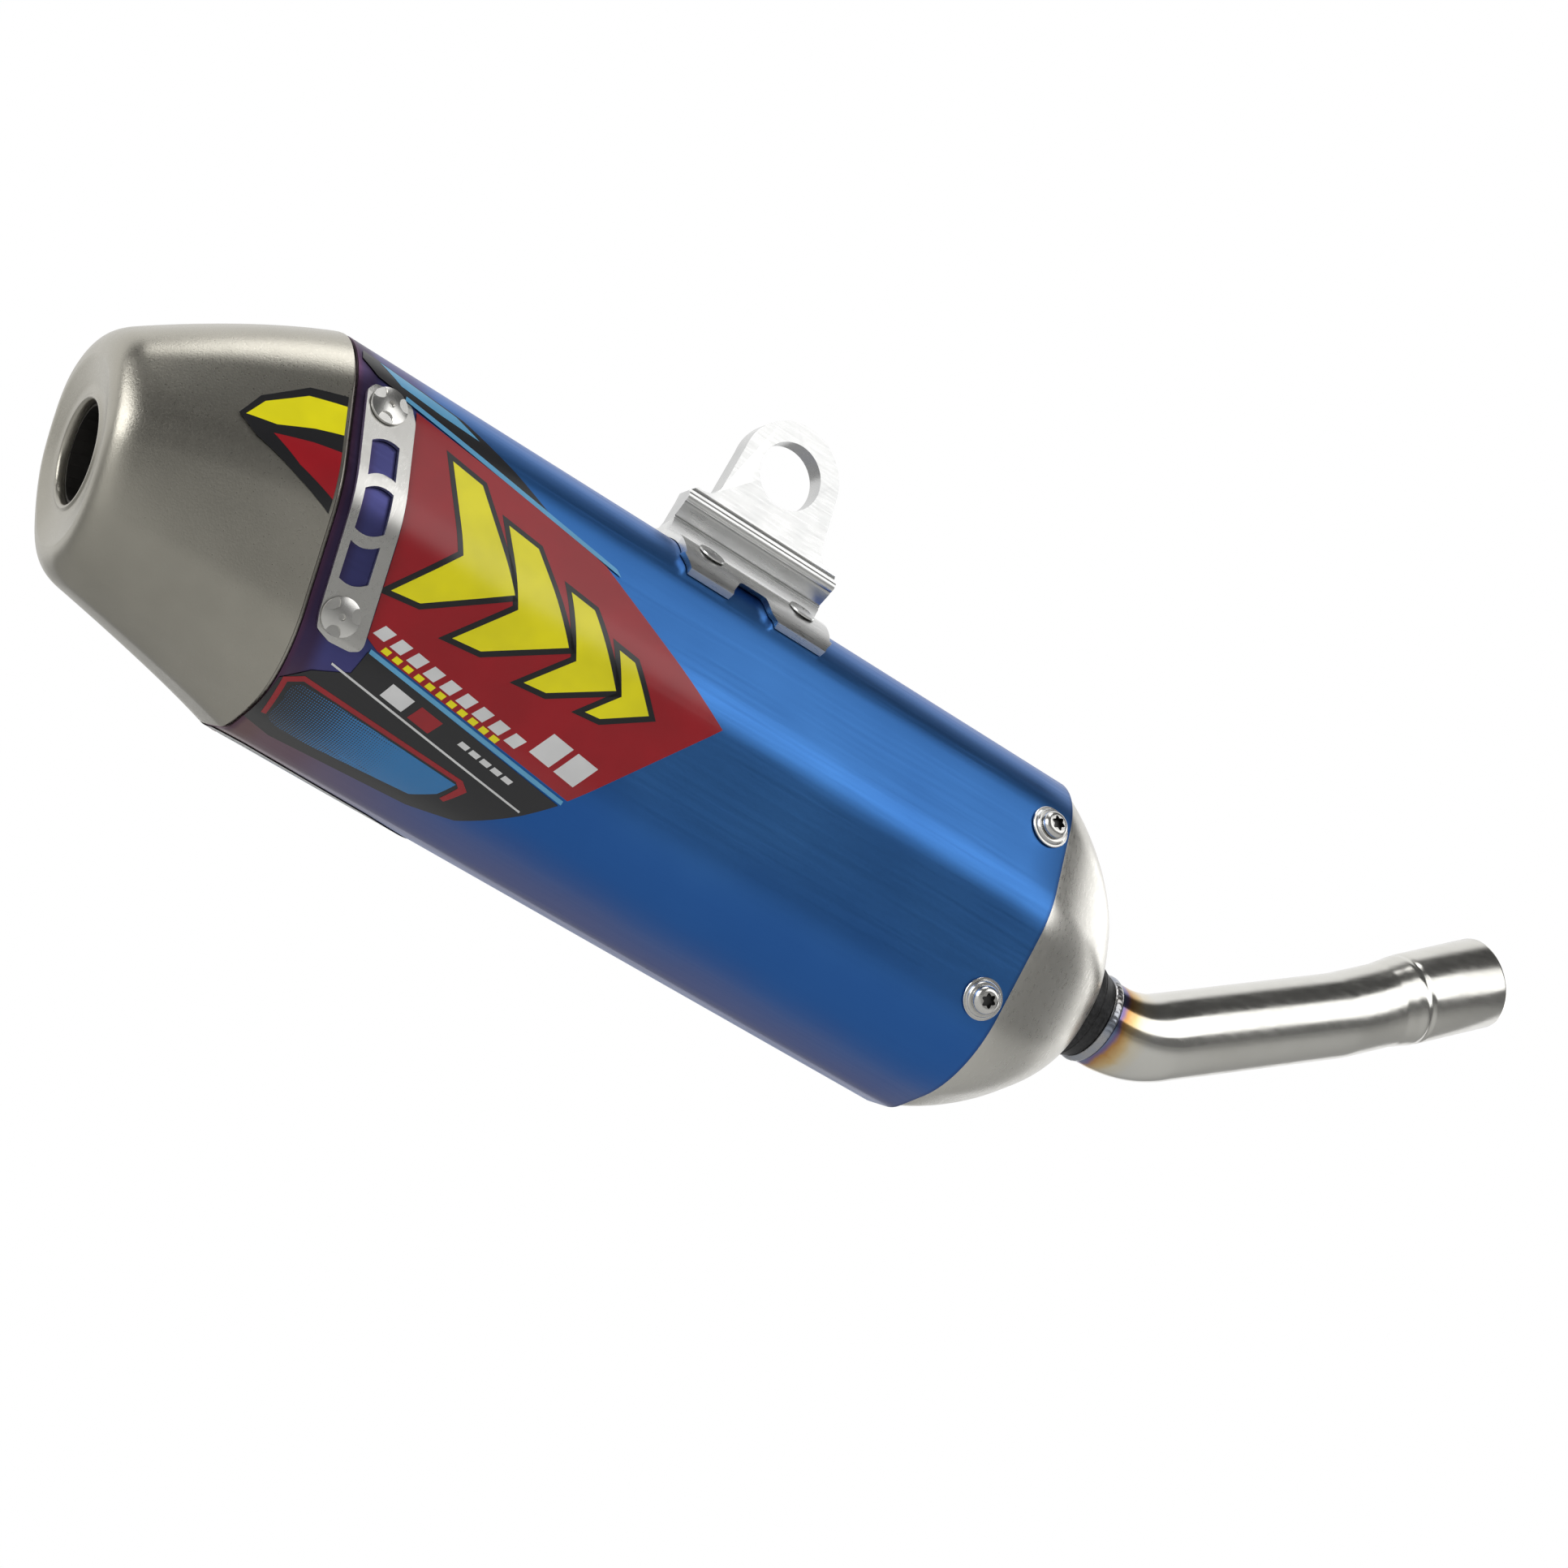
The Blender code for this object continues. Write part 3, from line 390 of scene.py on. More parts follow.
def anodised():
    """Heat-coloured titanium: blue, with a darker blue band on the lower side that is painted
    shade, violet on top and grey-violet below that is painted sheen (the oxide's grazing-angle
    colour shift, put there by position), violet by the outlet cap, brown along the cap's edge and
    bronze at the lower outlet corner."""
    mat, tree, shader = blank("anodised_titanium", (0.05, 0.2, 0.56), 0.3)
    across, girth, front = (attribute(tree, a) for a in ("across", "girth", "front"))
    slow = noise(tree, 9.0, (1, 1, 1), 3.0, 0.6)
    fine = noise(tree, 700.0, (0.03, 1, 1), 4.0, 0.6)
    wander = times(tree, times(tree, slow, 0.5, "SUBTRACT"), 26.0)
    blue = blend_colour(tree, remap(tree, slow, 0.35, 0.65), (0.062, 0.210, 0.55),
                        (0.048, 0.170, 0.47))
    # Painted shade: a darker blue band on the lower side (girth 112 to 150 mm), standing in for a
    # dark reflection.
    painted_shade_band = remap(tree, times(tree, girth, wander, "ADD"), 112, 150, smooth=True)
    blue = blend_colour(tree, times(tree, painted_shade_band, 0.6), blue, (0.022, 0.105, 0.40))
    # Painted sheen: violet on top and grey-violet below, the oxide's colour shift at grazing
    # angles, put there by position.
    top = remap(tree, times(tree, girth, wander, "ADD"), 46, 18, smooth=True)
    low = remap(tree, times(tree, girth, wander, "ADD"), 158, 200, smooth=True)
    painted_sheen_violet = (0.085, 0.085, 0.33)
    base = blend_colour(tree, times(tree, top, 0.85), blue, painted_sheen_violet)
    base = blend_colour(tree, times(tree, low, 0.8), base, (0.16, 0.16, 0.31))
    strip = remap(tree, times(tree, across, times(tree, wander, 0.12), "ADD"), 34, 20, smooth=True)
    base = blend_colour(tree, times(tree, strip, 0.9), base, (0.085, 0.072, 0.215))
    brown = remap(tree, times(tree, across, times(tree, wander, 0.08), "ADD"), 11, 4.5, smooth=True)
    base = blend_colour(tree, times(tree, brown, 0.85), base, (0.060, 0.036, 0.075))
    corner = times(tree, remap(tree, across, 80, 4, smooth=True),
                   remap(tree, girth, 140, 182, smooth=True))
    base = blend_colour(tree, times(tree, corner, 0.75), base, (0.27, 0.17, 0.16))
    rim = remap(tree, across, 2.2, 0.6)
    base = blend_colour(tree, times(tree, rim, 0.7), base, (0.10, 0.045, 0.09))
    nose = remap(tree, front, 1.6, 0.4)
    base = blend_colour(tree, times(tree, nose, 0.5), base, (0.03, 0.06, 0.2))
    tree.links.new(base, shader.inputs["Base Color"])
    tree.links.new(remap(tree, fine, 0.3, 0.7, 0.31, 0.41), shader.inputs["Roughness"])
    bump(tree, shader, fine, 0.12, 0.00005)
    return mat


def film(name, colour, gloss_rough):
    """A printed film under a clear gloss layer, with faint orange peel."""
    mat, tree, shader = blank(name, colour, 0.35, 0.0)
    shader.inputs["Coat Weight"].default_value = 0.4
    shader.inputs["Coat Roughness"].default_value = gloss_rough
    bump(tree, shader, noise(tree, 260.0), 0.05, 0.0001)
    return mat, tree, shader


def printed(name, colour):
    """One plain printed colour."""
    mat, tree, shader = film(name, colour, 0.24)
    slow = noise(tree, 60.0, (1, 1, 1), 2.0, 0.5)
    base = blend_colour(tree, remap(tree, slow, 0.35, 0.65), colour,
                        tuple(c * 0.88 for c in colour))
    tree.links.new(base, shader.inputs["Base Color"])
    return mat


def halftone(name, light, dark):
    """Printed dots that shrink along the panel."""
    mat, tree, shader = film(name, light, 0.12)
    lay, girth = attribute(tree, "lay"), attribute(tree, "girth")
    rate = 2 * pi / DOT_PITCH / 1.41  # radians per mm along the two diagonals
    wave_a, wave_b = (
        node(tree, "Math", {0: times(tree, times(tree, lay, girth, way), rate)},
             operation="SINE").outputs[0]
        for way in ("ADD", "SUBTRACT")
    )
    dots = times(tree, times(tree, wave_a, wave_b), 0.5)
    fade = remap(tree, lay, -268, -222, 0.45, -0.55)
    ink = remap(tree, times(tree, dots, fade, "ADD"), 0.0, 0.12)
    tree.links.new(blend_colour(tree, ink, light, dark), shader.inputs["Base Color"])
    return mat


def tinted_pipe():
    """Polished stainless tube with the heat tint that a weld leaves beside it."""
    mat, tree, shader = blank("polished_pipe", (0.72, 0.71, 0.67), 0.12)
    along = attribute(tree, "along")
    wander = times(tree, times(tree, noise(tree, 120.0), 0.5, "SUBTRACT"), 5.0)
    place = remap(tree, times(tree, along, wander, "ADD"), 0.0, TINT_LENGTH)
    ramp = node(tree, "ValToRGB", {"Fac": place})
    stops = [(0.0, (0.16, 0.20, 0.34)), (0.09, (0.22, 0.15, 0.30)), (0.2, (0.52, 0.27, 0.09)),
             (0.38, (0.70, 0.50, 0.24)), (0.62, (0.74, 0.68, 0.55)), (1.0, (0.72, 0.71, 0.67))]
    for k, (spot, colour) in enumerate(stops):
        stop = ramp.color_ramp.elements[k] if k < 2 else ramp.color_ramp.elements.new(spot)
        stop.position, stop.color = spot, (*colour, 1)
    fine = noise(tree, 420.0, (0.25, 1, 1), 4.0, 0.6)
    slow = noise(tree, 24.0, (1, 1, 1), 3.0, 0.55)
    base = blend_colour(tree, remap(tree, slow, 0.4, 0.75, 0.0, 0.35), ramp.outputs[0],
                        (0.55, 0.53, 0.48))
    tree.links.new(base, shader.inputs["Base Color"])
    tree.links.new(remap(tree, times(tree, fine, slow, "ADD"), 0.7, 1.3, 0.12, 0.25),
                   shader.inputs["Roughness"])
    bump(tree, shader, slow, 0.1, 0.0012)
    return mat


def fibre():
    """Long strands of glass fibre."""
    mat, tree, shader = blank("packing_fibre", (0.75, 0.72, 0.60), 0.95, 0.0)
    strands = noise(tree, 500.0, (0.15, 1, 1), 6.0, 0.7)
    tree.links.new(blend_colour(tree, strands, (0.84, 0.81, 0.70), (0.55, 0.50, 0.38)),
                   shader.inputs["Base Color"])
    bump(tree, shader, strands, 0.8, 0.0008)
    return mat


def rubber():
    """Dull black collar."""
    mat, tree, shader = blank("collar_black", (0.02, 0.02, 0.022), 0.55, 0.3)
    fine = noise(tree, 800.0)
    tree.links.new(blend_colour(tree, remap(tree, fine, 0.4, 0.7), (0.012, 0.012, 0.013),
                                (0.045, 0.045, 0.047)), shader.inputs["Base Color"])
    tree.links.new(remap(tree, fine, 0.3, 0.7, 0.42, 0.62), shader.inputs["Roughness"])
    bump(tree, shader, fine, 0.3, 0.0001)
    return mat


TITANIUM = anodised()
SATIN = metal("blasted_satin", (0.455, 0.435, 0.38), 0.31, grain=1500, depth=0.9, spread=0.12,
              tint=(0.35, 0.335, 0.29), blotch=10)
DOME = metal("spun_stainless", (0.66, 0.645, 0.60), 0.3, stretch=(1, 0.3, 0.3), grain=1100,
             depth=0.22, tint=(0.60, 0.585, 0.54))
BRUSHED = metal("brushed_stainless", (0.70, 0.69, 0.66), 0.3, stretch=(1, 1, 0.04),
                grain=2600, depth=0.05, spread=0.12, blotch=40, tint=(0.64, 0.63, 0.60))
POLISHED = metal("polished_fastener", (0.78, 0.77, 0.74), 0.25, grain=500, depth=0.02,
                 spread=0.04, blotch=60)
# Dark metal for the inside of the screw sockets: painted shade.
SOCKET_PAINTED_SHADE = metal("fastener_socket_painted_shade", (0.10, 0.10, 0.10), 0.5, grain=600, depth=0.3)
BILLET = metal("bright_aluminium", (0.58, 0.58, 0.575), 0.3, stretch=(0.08, 1, 1), grain=1300,
               depth=0.15, spread=0.16, tint=(0.52, 0.525, 0.525), edge_wear=0.6, blotch=60)
CORE = metal("core_stainless", (0.45, 0.43, 0.40), 0.35, grain=500)
SOOTED = metal("sooted_tube", (0.10, 0.095, 0.09), 0.5, grain=500, depth=0.4,
               tint=(0.05, 0.048, 0.045))
PLATED = metal("plated_steel", (0.62, 0.60, 0.52), 0.3, grain=700)
WELD = metal("weld_metal", (0.34, 0.38, 0.46), 0.24, grain=500, depth=0.3,
             tint=(0.48, 0.46, 0.44), blotch=80)
PIPE = tinted_pipe()
BLACK_COLLAR = rubber()
FIBRE = fibre()
RED = printed("film_red", (0.36, 0.0008, 0.008))
YELLOW = printed("film_yellow", (0.95, 0.86, 0.0))
BLACK = printed("film_black", (0.006, 0.006, 0.008))
SKY = printed("film_light_blue", (0.12, 0.42, 0.70))
WHITE = printed("film_white", (0.78, 0.78, 0.78))
DOTS = halftone("film_halftone", (0.020, 0.20, 0.50), (0.008, 0.010, 0.016))


# ---- shells ----------------------------------------------------------------------------
def paint(thing, **values):
    """Stores numbers at each point for the materials, as name=function(x, n, u) in mm."""
    for name, rule in values.items():
        layer = thing.data.attributes.new(name, "FLOAT", "POINT")
        for k, v in enumerate(thing.data.vertices):
            x, y, z = v.co / MM
            layer.data[k].value = rule(x + HANGER[0], HANGER[1] - y, z + HANGER[2])


GIRTHS = [(abs(n), u, min(s, PERIMETER - s)) for n, u, _, _, s in STATIONS]


def girth_of(x, n, u):
    """Distance along the section from the top centre, the same on both sides."""
    best = min(GIRTHS, key=lambda g: hypot(g[0] - abs(n), g[1] - u))
    return best[2]


def make_sleeve():
    edge = [(0.0, -0.35), (0.1, -0.1), (0.35, 0.0)]
    outer = [section_ring(lambda u, d=d: -d, o) for d, o in edge]
    for share in (0.05, 0.2, 0.4, 0.6, 0.75, 0.85, 0.91, 0.95, 0.975):
        outer.append(section_ring(lambda u, t=share: cut_x(u) * t, 0.0))
    outer += [section_ring(lambda u, d=d: cut_x(u) + d, o) for d, o in edge[::-1]]
    inner = [section_ring(lambda u: 0.0, -SLEEVE_WALL), section_ring(cut_x, -SLEEVE_WALL)]
    sleeve = shell("titanium_sleeve", outer, inner, TITANIUM)
    paint(sleeve, across=lambda x, n, u: x - cut_x(u), front=lambda x, n, u: -x, girth=girth_of)
    return piece(sleeve, "titanium", "sleeve")


def dome_ring(share, offset):
    keep = (1 - share ** 1.19) ** (1 / 1.74)
    ring = []
    for n, u, dn, du, _ in STATIONS:
        n0, u0 = n + dn * offset, u + du * offset
        a = atan2(n0, u0 - AXIS_U)
        radius = NECK_RADIUS + (offset + SKIRT_IN)
        n1, u1 = radius * sin(a), AXIS_U + radius * cos(a)
        x = DOME_LENGTH * share + (offset + SKIRT_IN) * share
        ring.append(at(x, n1 + (n0 - n1) * keep, u1 + (u0 - u1) * keep))
    return ring


def make_dome():
    shares = [sin(pi / 2 * k / 26) ** 1.15 for k in range(27)]
    skirt, thin = -SKIRT_IN, -SKIRT_IN - CAP_WALL
    outer = [section_ring(lambda u: -SKIRT_LENGTH, skirt)] + [dome_ring(t, skirt) for t in shares]
    inner = [section_ring(lambda u: -SKIRT_LENGTH, thin)] + [dome_ring(t, thin) for t in shares]
    return piece(shell("inlet_dome", outer, inner, DOME), "stainless", "inlet_cap")


def cap_spot(station, row, inset, offset):
    n, u, dn, du = station[:4]
    share, scale, roundness = row
    n0, u0 = n - dn * inset, u - du * inset
    angle = atan2(n0, u0 - AXIS_U)
    n1 = n0 + (ROUND_RADIUS * sin(angle) - n0) * roundness
    u1 = u0 - AXIS_U + (ROUND_RADIUS * cos(angle) - u0 + AXIS_U) * roundness
    middle = AXIS_U + CAP_DROP * share ** CAP_DROP_POWER
    height = middle + u1 * scale + du * offset
    start = cut_x(height)
    end = FACE_X - tan(OUTLET_TILT) * (height - OUTLET_CENTRE[1])
    return at(start + (end - start) * share, n1 * scale + dn * offset, height)


def outlet_ring(radius, sink):
    ring = []
    for n, u, *_ in STATIONS:
        a = atan2(n, u - AXIS_U)
        up = radius * cos(a)
        ring.append(at(
            OUTLET_CENTRE[0] + sink * cos(OUTLET_TILT) - up * sin(OUTLET_TILT),
            radius * sin(a),
            OUTLET_CENTRE[1] + sink * sin(OUTLET_TILT) + up * cos(OUTLET_TILT),
        ))
    return ring


def cap_rows():
    """Rows down the outlet cap's side and round its front edge."""
    edge = [
        tuple(a * (1 - t) ** 2 + 2 * b * t * (1 - t) + c * t * t
              for a, b, c in zip(CAP_SIDE[-1], EDGE_CORNER, EDGE_FACE))
        for t in (k / 6 for k in range(1, 7))
    ]
    return smooth_rows(CAP_SIDE[1:] + edge, 2)


CAP_ROWS = cap_rows()


def make_outlet_cap():
    skirt, thin = SKIRT_IN, SKIRT_IN + CAP_WALL
    profile = [CAP_SIDE[0], (0.016, 1.014, 0.0)] + CAP_ROWS
    outer = [section_ring(lambda u: cut_x(u) + SKIRT_LENGTH, -skirt)]
    inner = [section_ring(lambda u: cut_x(u) + SKIRT_LENGTH, -thin)]
    for share, scale, roundness in profile:
        outer.append([cap_spot(p, (share, scale, roundness), skirt, 0.0) for p in STATIONS])
        inner.append([cap_spot(p, (share * 0.98, scale, roundness), thin, 0.0)
                      for p in STATIONS])
    lip = OUTLET_RADIUS
    rim, floor = outer[-1], outlet_ring(lip + 6.2, -1.7)
    for k in range(1, 6):
        outer.append([a.lerp(b, k / 6) for a, b in zip(rim, floor)])
    outer += [floor] + [outlet_ring(lip + r, z) for r, z in (
        (5.2, -1.45), (4.0, -1.35), (2.6, -1.35), (2.1, -1.45), (1.5, -1.9), (0.9, -1.95),
        (0.35, -1.6), (0.05, -0.8), (0.0, 0.8))]
    inner += [outlet_ring(lip + 7, -0.3), outlet_ring(lip + 2.4, 0.6), outlet_ring(lip, 4.0)]
    cap = shell("outlet_cone", outer, inner, SATIN, 40)
    return piece(cap, "satin", "outlet_cap")


def tube_rings(path, radius_of, steps):
    rings = []
    for k, (x, u, heading) in enumerate(path):
        radius = radius_of(k)
        ring = []
        for i in range(steps):
            a = 2 * pi * i / steps
            up = radius * cos(a)
            ring.append(at(x - up * sin(heading), radius * sin(a), u + up * cos(heading)))
        rings.append(ring)
    return rings


def bend(x, u, heading, radius, angle, steps):
    side = 1 if angle > 0 else -1
    cx, cu = x - side * radius * sin(heading), u + side * radius * cos(heading)
    return [(cx + side * radius * sin(h), cu - side * radius * cos(h), h)
            for h in (heading + angle * k / steps for k in range(steps + 1))]


def make_collar():
    x0 = DOME_LENGTH + GAP
    profile = [(0.0, 18.6), (0.3, 19.0), (2.9, 18.95), (3.4, 18.7), (3.7, 18.2), (4.2, 18.35),
               (7.4, 16.85), (8.2, 16.5), (9.5, 16.2)]
    path = [(x0 + x, AXIS_U, 0.0) for x, _ in profile]
    outer = tube_rings(path, lambda k: profile[k][1], 72)
    inner = tube_rings(path, lambda k: PIPE_RADIUS - PIPE_WALL, 72)
    return piece(shell("neck_seal", outer, inner, BLACK_COLLAR), "black", "neck_collar")


def make_weld():
    """A rippled bead: each ripple is a crescent, as a torch leaves them."""
    x0, width, steps, ripples = DOME_LENGTH + 10.1, 3.8, 288, 48
    bore = PIPE_RADIUS - PIPE_WALL
    rows = 9
    outer, inner = [], []
    for k in range(rows):
        t = k / (rows - 1)
        swell = 0.7 * sin(pi * t) ** 0.6
        ring, core = [], []
        for i in range(steps):
            a = 2 * pi * i / steps
            phase = a * ripples + 2.6 * sin(pi * t)
            radius = 16.25 + swell * (1 - 0.16 * (0.5 + 0.5 * sin(phase)) ** 2)
            x = x0 + width * t
            ring.append(at(x, radius * sin(a), AXIS_U + radius * cos(a)))
            core.append(at(x, bore * sin(a), AXIS_U + bore * cos(a)))
        outer.append(ring)
        inner.append(core)
    return piece(shell("ripple_weld", outer, inner, WELD, 60), "weld", "weld_bead")


def pipe_rows():
    x1, radius_1, angle_1 = BEND_1
    points = [(PIPE_START, AXIS_U, 0.0)] + bend(x1, AXIS_U, 0.0, radius_1, angle_1, 18)
    extra = END_ANGLE - angle_1
    reach = BEND_2_RADIUS * tan(extra / 2)
    x2 = BEND_2_POINT[0] - reach * cos(angle_1)
    u2 = BEND_2_POINT[1] - reach * sin(angle_1)
    x0, u0, _ = points[-1]
    points += [(x0 + (x2 - x0) * k / 6, u0 + (u2 - u0) * k / 6, angle_1) for k in range(1, 6)]
    points += bend(x2, u2, angle_1, BEND_2_RADIUS, extra, 6)
    radii = [PIPE_RADIUS] * len(points)
    swage = [(12, 0.0), (22, 0.0), (23.5, 0.1), (25, 0.27), (27, 0.4), (29.5, 0.62), (31, 0.8),
             (32, 0.86), (32.8, 0.78), (33.4, 0.7), (34.2, 0.78), (35, 0.95), (36, 1.0),
             (50, 1.0), (69.8, 1.0), (70.4, 0.93), (END_LENGTH, 0.75)]
    for distance, share in swage:
        points.append((BEND_2_POINT[0] + distance * cos(END_ANGLE),
                       BEND_2_POINT[1] + distance * sin(END_ANGLE), END_ANGLE))
        radii.append(PIPE_RADIUS + SWAGE_GROWTH * share)
    return points, radii


def make_pipe():
    points, radii = pipe_rows()
    outer = tube_rings(points, lambda k: radii[k], 96)
    inner = tube_rings(points, lambda k: min(radii[k], PIPE_RADIUS + SWAGE_GROWTH) - PIPE_WALL, 96)
    pipe = shell("header_pipe", outer, inner, PIPE, 40)
    travelled = [0.0]
    for a, b in zip(points, points[1:]):
        travelled.append(travelled[-1] + hypot(b[0] - a[0], b[1] - a[1]))

    def along(x, n, u):
        return min(zip(points, travelled), key=lambda p: hypot(p[0][0] - x, p[0][1] - u))[1]

    paint(pipe, along=lambda x, n, u: x - PIPE_START if x < 90 else along(x, n, u))
    return piece(pipe, "stainless", "inlet_pipe")


# ---- sheets that follow the can --------------------------------------------------------
def sheet_mesh(bm, outline, low, high, place, breaks, index=0, holes=(), rows=()):
    """A thin closed plate bent over a surface, from (a, b) outlines."""
    loops = [[Vector((a, b, 0)) for a, b in loop] for loop in (outline, *holes)]
    flat = bmesh.new()
    corners = [flat.verts.new(p) for loop in loops for p in loop]
    for triangle in tessellate_polygon(loops):
        flat.faces.new([corners[k] for k in triangle])
    planes = [((0, b, 0), (0, 1, 0)) for b in breaks] + [((a, 0, 0), (1, 0, 0)) for a in rows]
    for spot, normal in planes:
        bmesh.ops.bisect_plane(flat, geom=flat.verts[:] + flat.edges[:] + flat.faces[:],
                               dist=1e-4, plane_co=spot, plane_no=normal)
    bmesh.ops.remove_doubles(flat, verts=flat.verts, dist=1e-4)
    flat.verts.index_update()
    spots = [(v.co.x, v.co.y) for v in flat.verts]
    lower = [bm.verts.new(place(a, b, low)) for a, b in spots]
    upper = [bm.verts.new(place(a, b, high)) for a, b in spots]
    for face in flat.faces:
        keys = [v.index for v in face.verts]
        for side in (lower, upper):
            bm.faces.new([side[k] for k in keys]).material_index = index
    for e in flat.edges:
        if len(e.link_faces) == 1:
            i, j = (v.index for v in e.verts)
            bm.faces.new((lower[i], lower[j], upper[j], upper[i])).material_index = index
    flat.free()


def strap_point(across, s, offset):
    return on_sleeve(cut_x(on_section(s)[1]) + across, s, offset)


def rounded(loop, radius, steps):
    """Rounds a loop's corners."""
    result = []
    for i, p in enumerate(loop):
        a, b, c = Vector(loop[i - 1]), Vector(p), Vector(loop[(i + 1) % len(loop)])
        r = min(radius, (a - b).length * 0.45, (c - b).length * 0.45)
        start, end = b + (a - b).normalized() * r, b + (c - b).normalized() * r
        for k in range(steps + 1):
            t = k / steps
            q = start * (1 - t) ** 2 + b * 2 * t * (1 - t) + end * t * t
            result.append((q.x, q.y))
    return result


def strap_outline():
    low, high = STRAP_GAP, STRAP_GAP + STRAP_WIDTH
    top, bottom = STRAP_SPAN
    return rounded([
        (low - 0.5, top + 4.0), (low + 2.0, top + 0.8), (low + 6.3, top),
        (high - 2.0, top + 1.1), (high, top + 6.0),
        (high, bottom - 4.0), (high - 0.8, bottom - 2.0), (high - 4.0, bottom - 0.4),
        (low + 6.3, bottom), (low + 1.2, bottom - 1.8), (low + 0.4, bottom - 6.0),
    ], 0.8, 2)


def strap_windows():
    left, right = STRAP_GAP + 3.1, STRAP_GAP + 13.1
    skew, bulge, steps = 2.6, 1.5, 10

    def bowed(s, rise):
        return [(left + (right - left) * k / steps,
                 s + skew * (0.5 - k / steps) + rise * (1 - (2 * k / steps - 1) ** 2))
                for k in range(steps + 1)]

    ends = [((73.6, -bulge), (85.8, -bulge)), ((90.0, -bulge), (102.3, bulge)),
            ((106.2, bulge), (118.2, bulge))]
    return [bowed(*a) + bowed(*b)[::-1] for a, b in ends]


def hole_loop(across, s, radius, steps=24):
    return [(across + radius * cos(-2 * pi * k / steps), s + radius * sin(-2 * pi * k / steps))
            for k in range(steps)]


def make_straps():
    holes = strap_windows() + [hole_loop(STRAP_RIVET_ACROSS, s, 2.8) for s in STRAP_RIVETS]
    for side, word in ((1, "right"), (-1, "left")):
        mirror = lambda loop: [(a, side * b) for a, b in loop][::side]
        bm = bmesh.new()
        sheet_mesh(bm, mirror(strap_outline()), GAP, GAP + STRAP_THICK, strap_point,
                   section_breaks(-PERIMETER / 2, PERIMETER / 2),
                   holes=[mirror(loop) for loop in holes])
        strap = finish_mesh(bm, f"slotted_strap_{word}", [BRUSHED])
        bevel(strap, 0.28, 50)
        piece(strap, "stainless", f"strap_{word}")


# ---- fasteners -------------------------------------------------------------------------
def dome_profile(radius, height, foot, steps=8):
    """Rings over a nearly flat head, from its foot up to its middle."""
    rim = radius - 0.35
    return [(radius, 0.0), (radius, foot - 0.3), (radius - 0.1, foot - 0.08), (rim, foot)] + [
        (r, foot + (height - foot) * (1 - (r / rim) ** 2))
        for r in (rim + (1.2 - rim) * k / steps for k in range(1, steps + 1))
    ]


def make_rivet(name, place, radius, height, grip, mat, slot, node_name, crescents):
    """A blind rivet; crescents adds the three shallow cuts at the rim of its head."""
    tail = [(2.24, -grip - 3.6), (3.0, -grip - 2.6), (3.2, -grip - 0.8), (2.4, -grip - 0.8),
            (2.4, 0.0)]
    middle_hole = [(1.25, height - 0.1), (1.15, height - 1.0)]
    bm = bmesh.new()
    lathe(bm, tail + dome_profile(radius, height, height * RIM_SHARE) + middle_hole, place, 48)
    rivet = finish_mesh(bm, name, [mat])
    if crescents:
        bm = bmesh.new()
        for k in range(3):
            a = radians(30 + 120 * k)
            spot = Vector((cos(a), sin(a), 0)) * radius * 0.88 * MM
            spot.z = (height * 0.5 + CUTTER_DEPTH / 2) * MM
            bmesh.ops.create_cone(bm, cap_ends=True, segments=40, radius1=2.5 * MM,
                                  radius2=3.3 * MM, depth=CUTTER_DEPTH * MM,
                                  matrix=place @ Matrix.Translation(spot))
        boolean(rivet, bm)
        flatten_normals(rivet, 20)
    return piece(rivet, slot, node_name)


def star_socket(radius, steps=48):
    """Outline of a six-lobed socket."""
    return [((radius * (0.84 + 0.16 * cos(6 * a))) * cos(a),
             (radius * (0.84 + 0.16 * cos(6 * a))) * sin(a))
            for a in (2 * pi * k / steps for k in range(steps))]


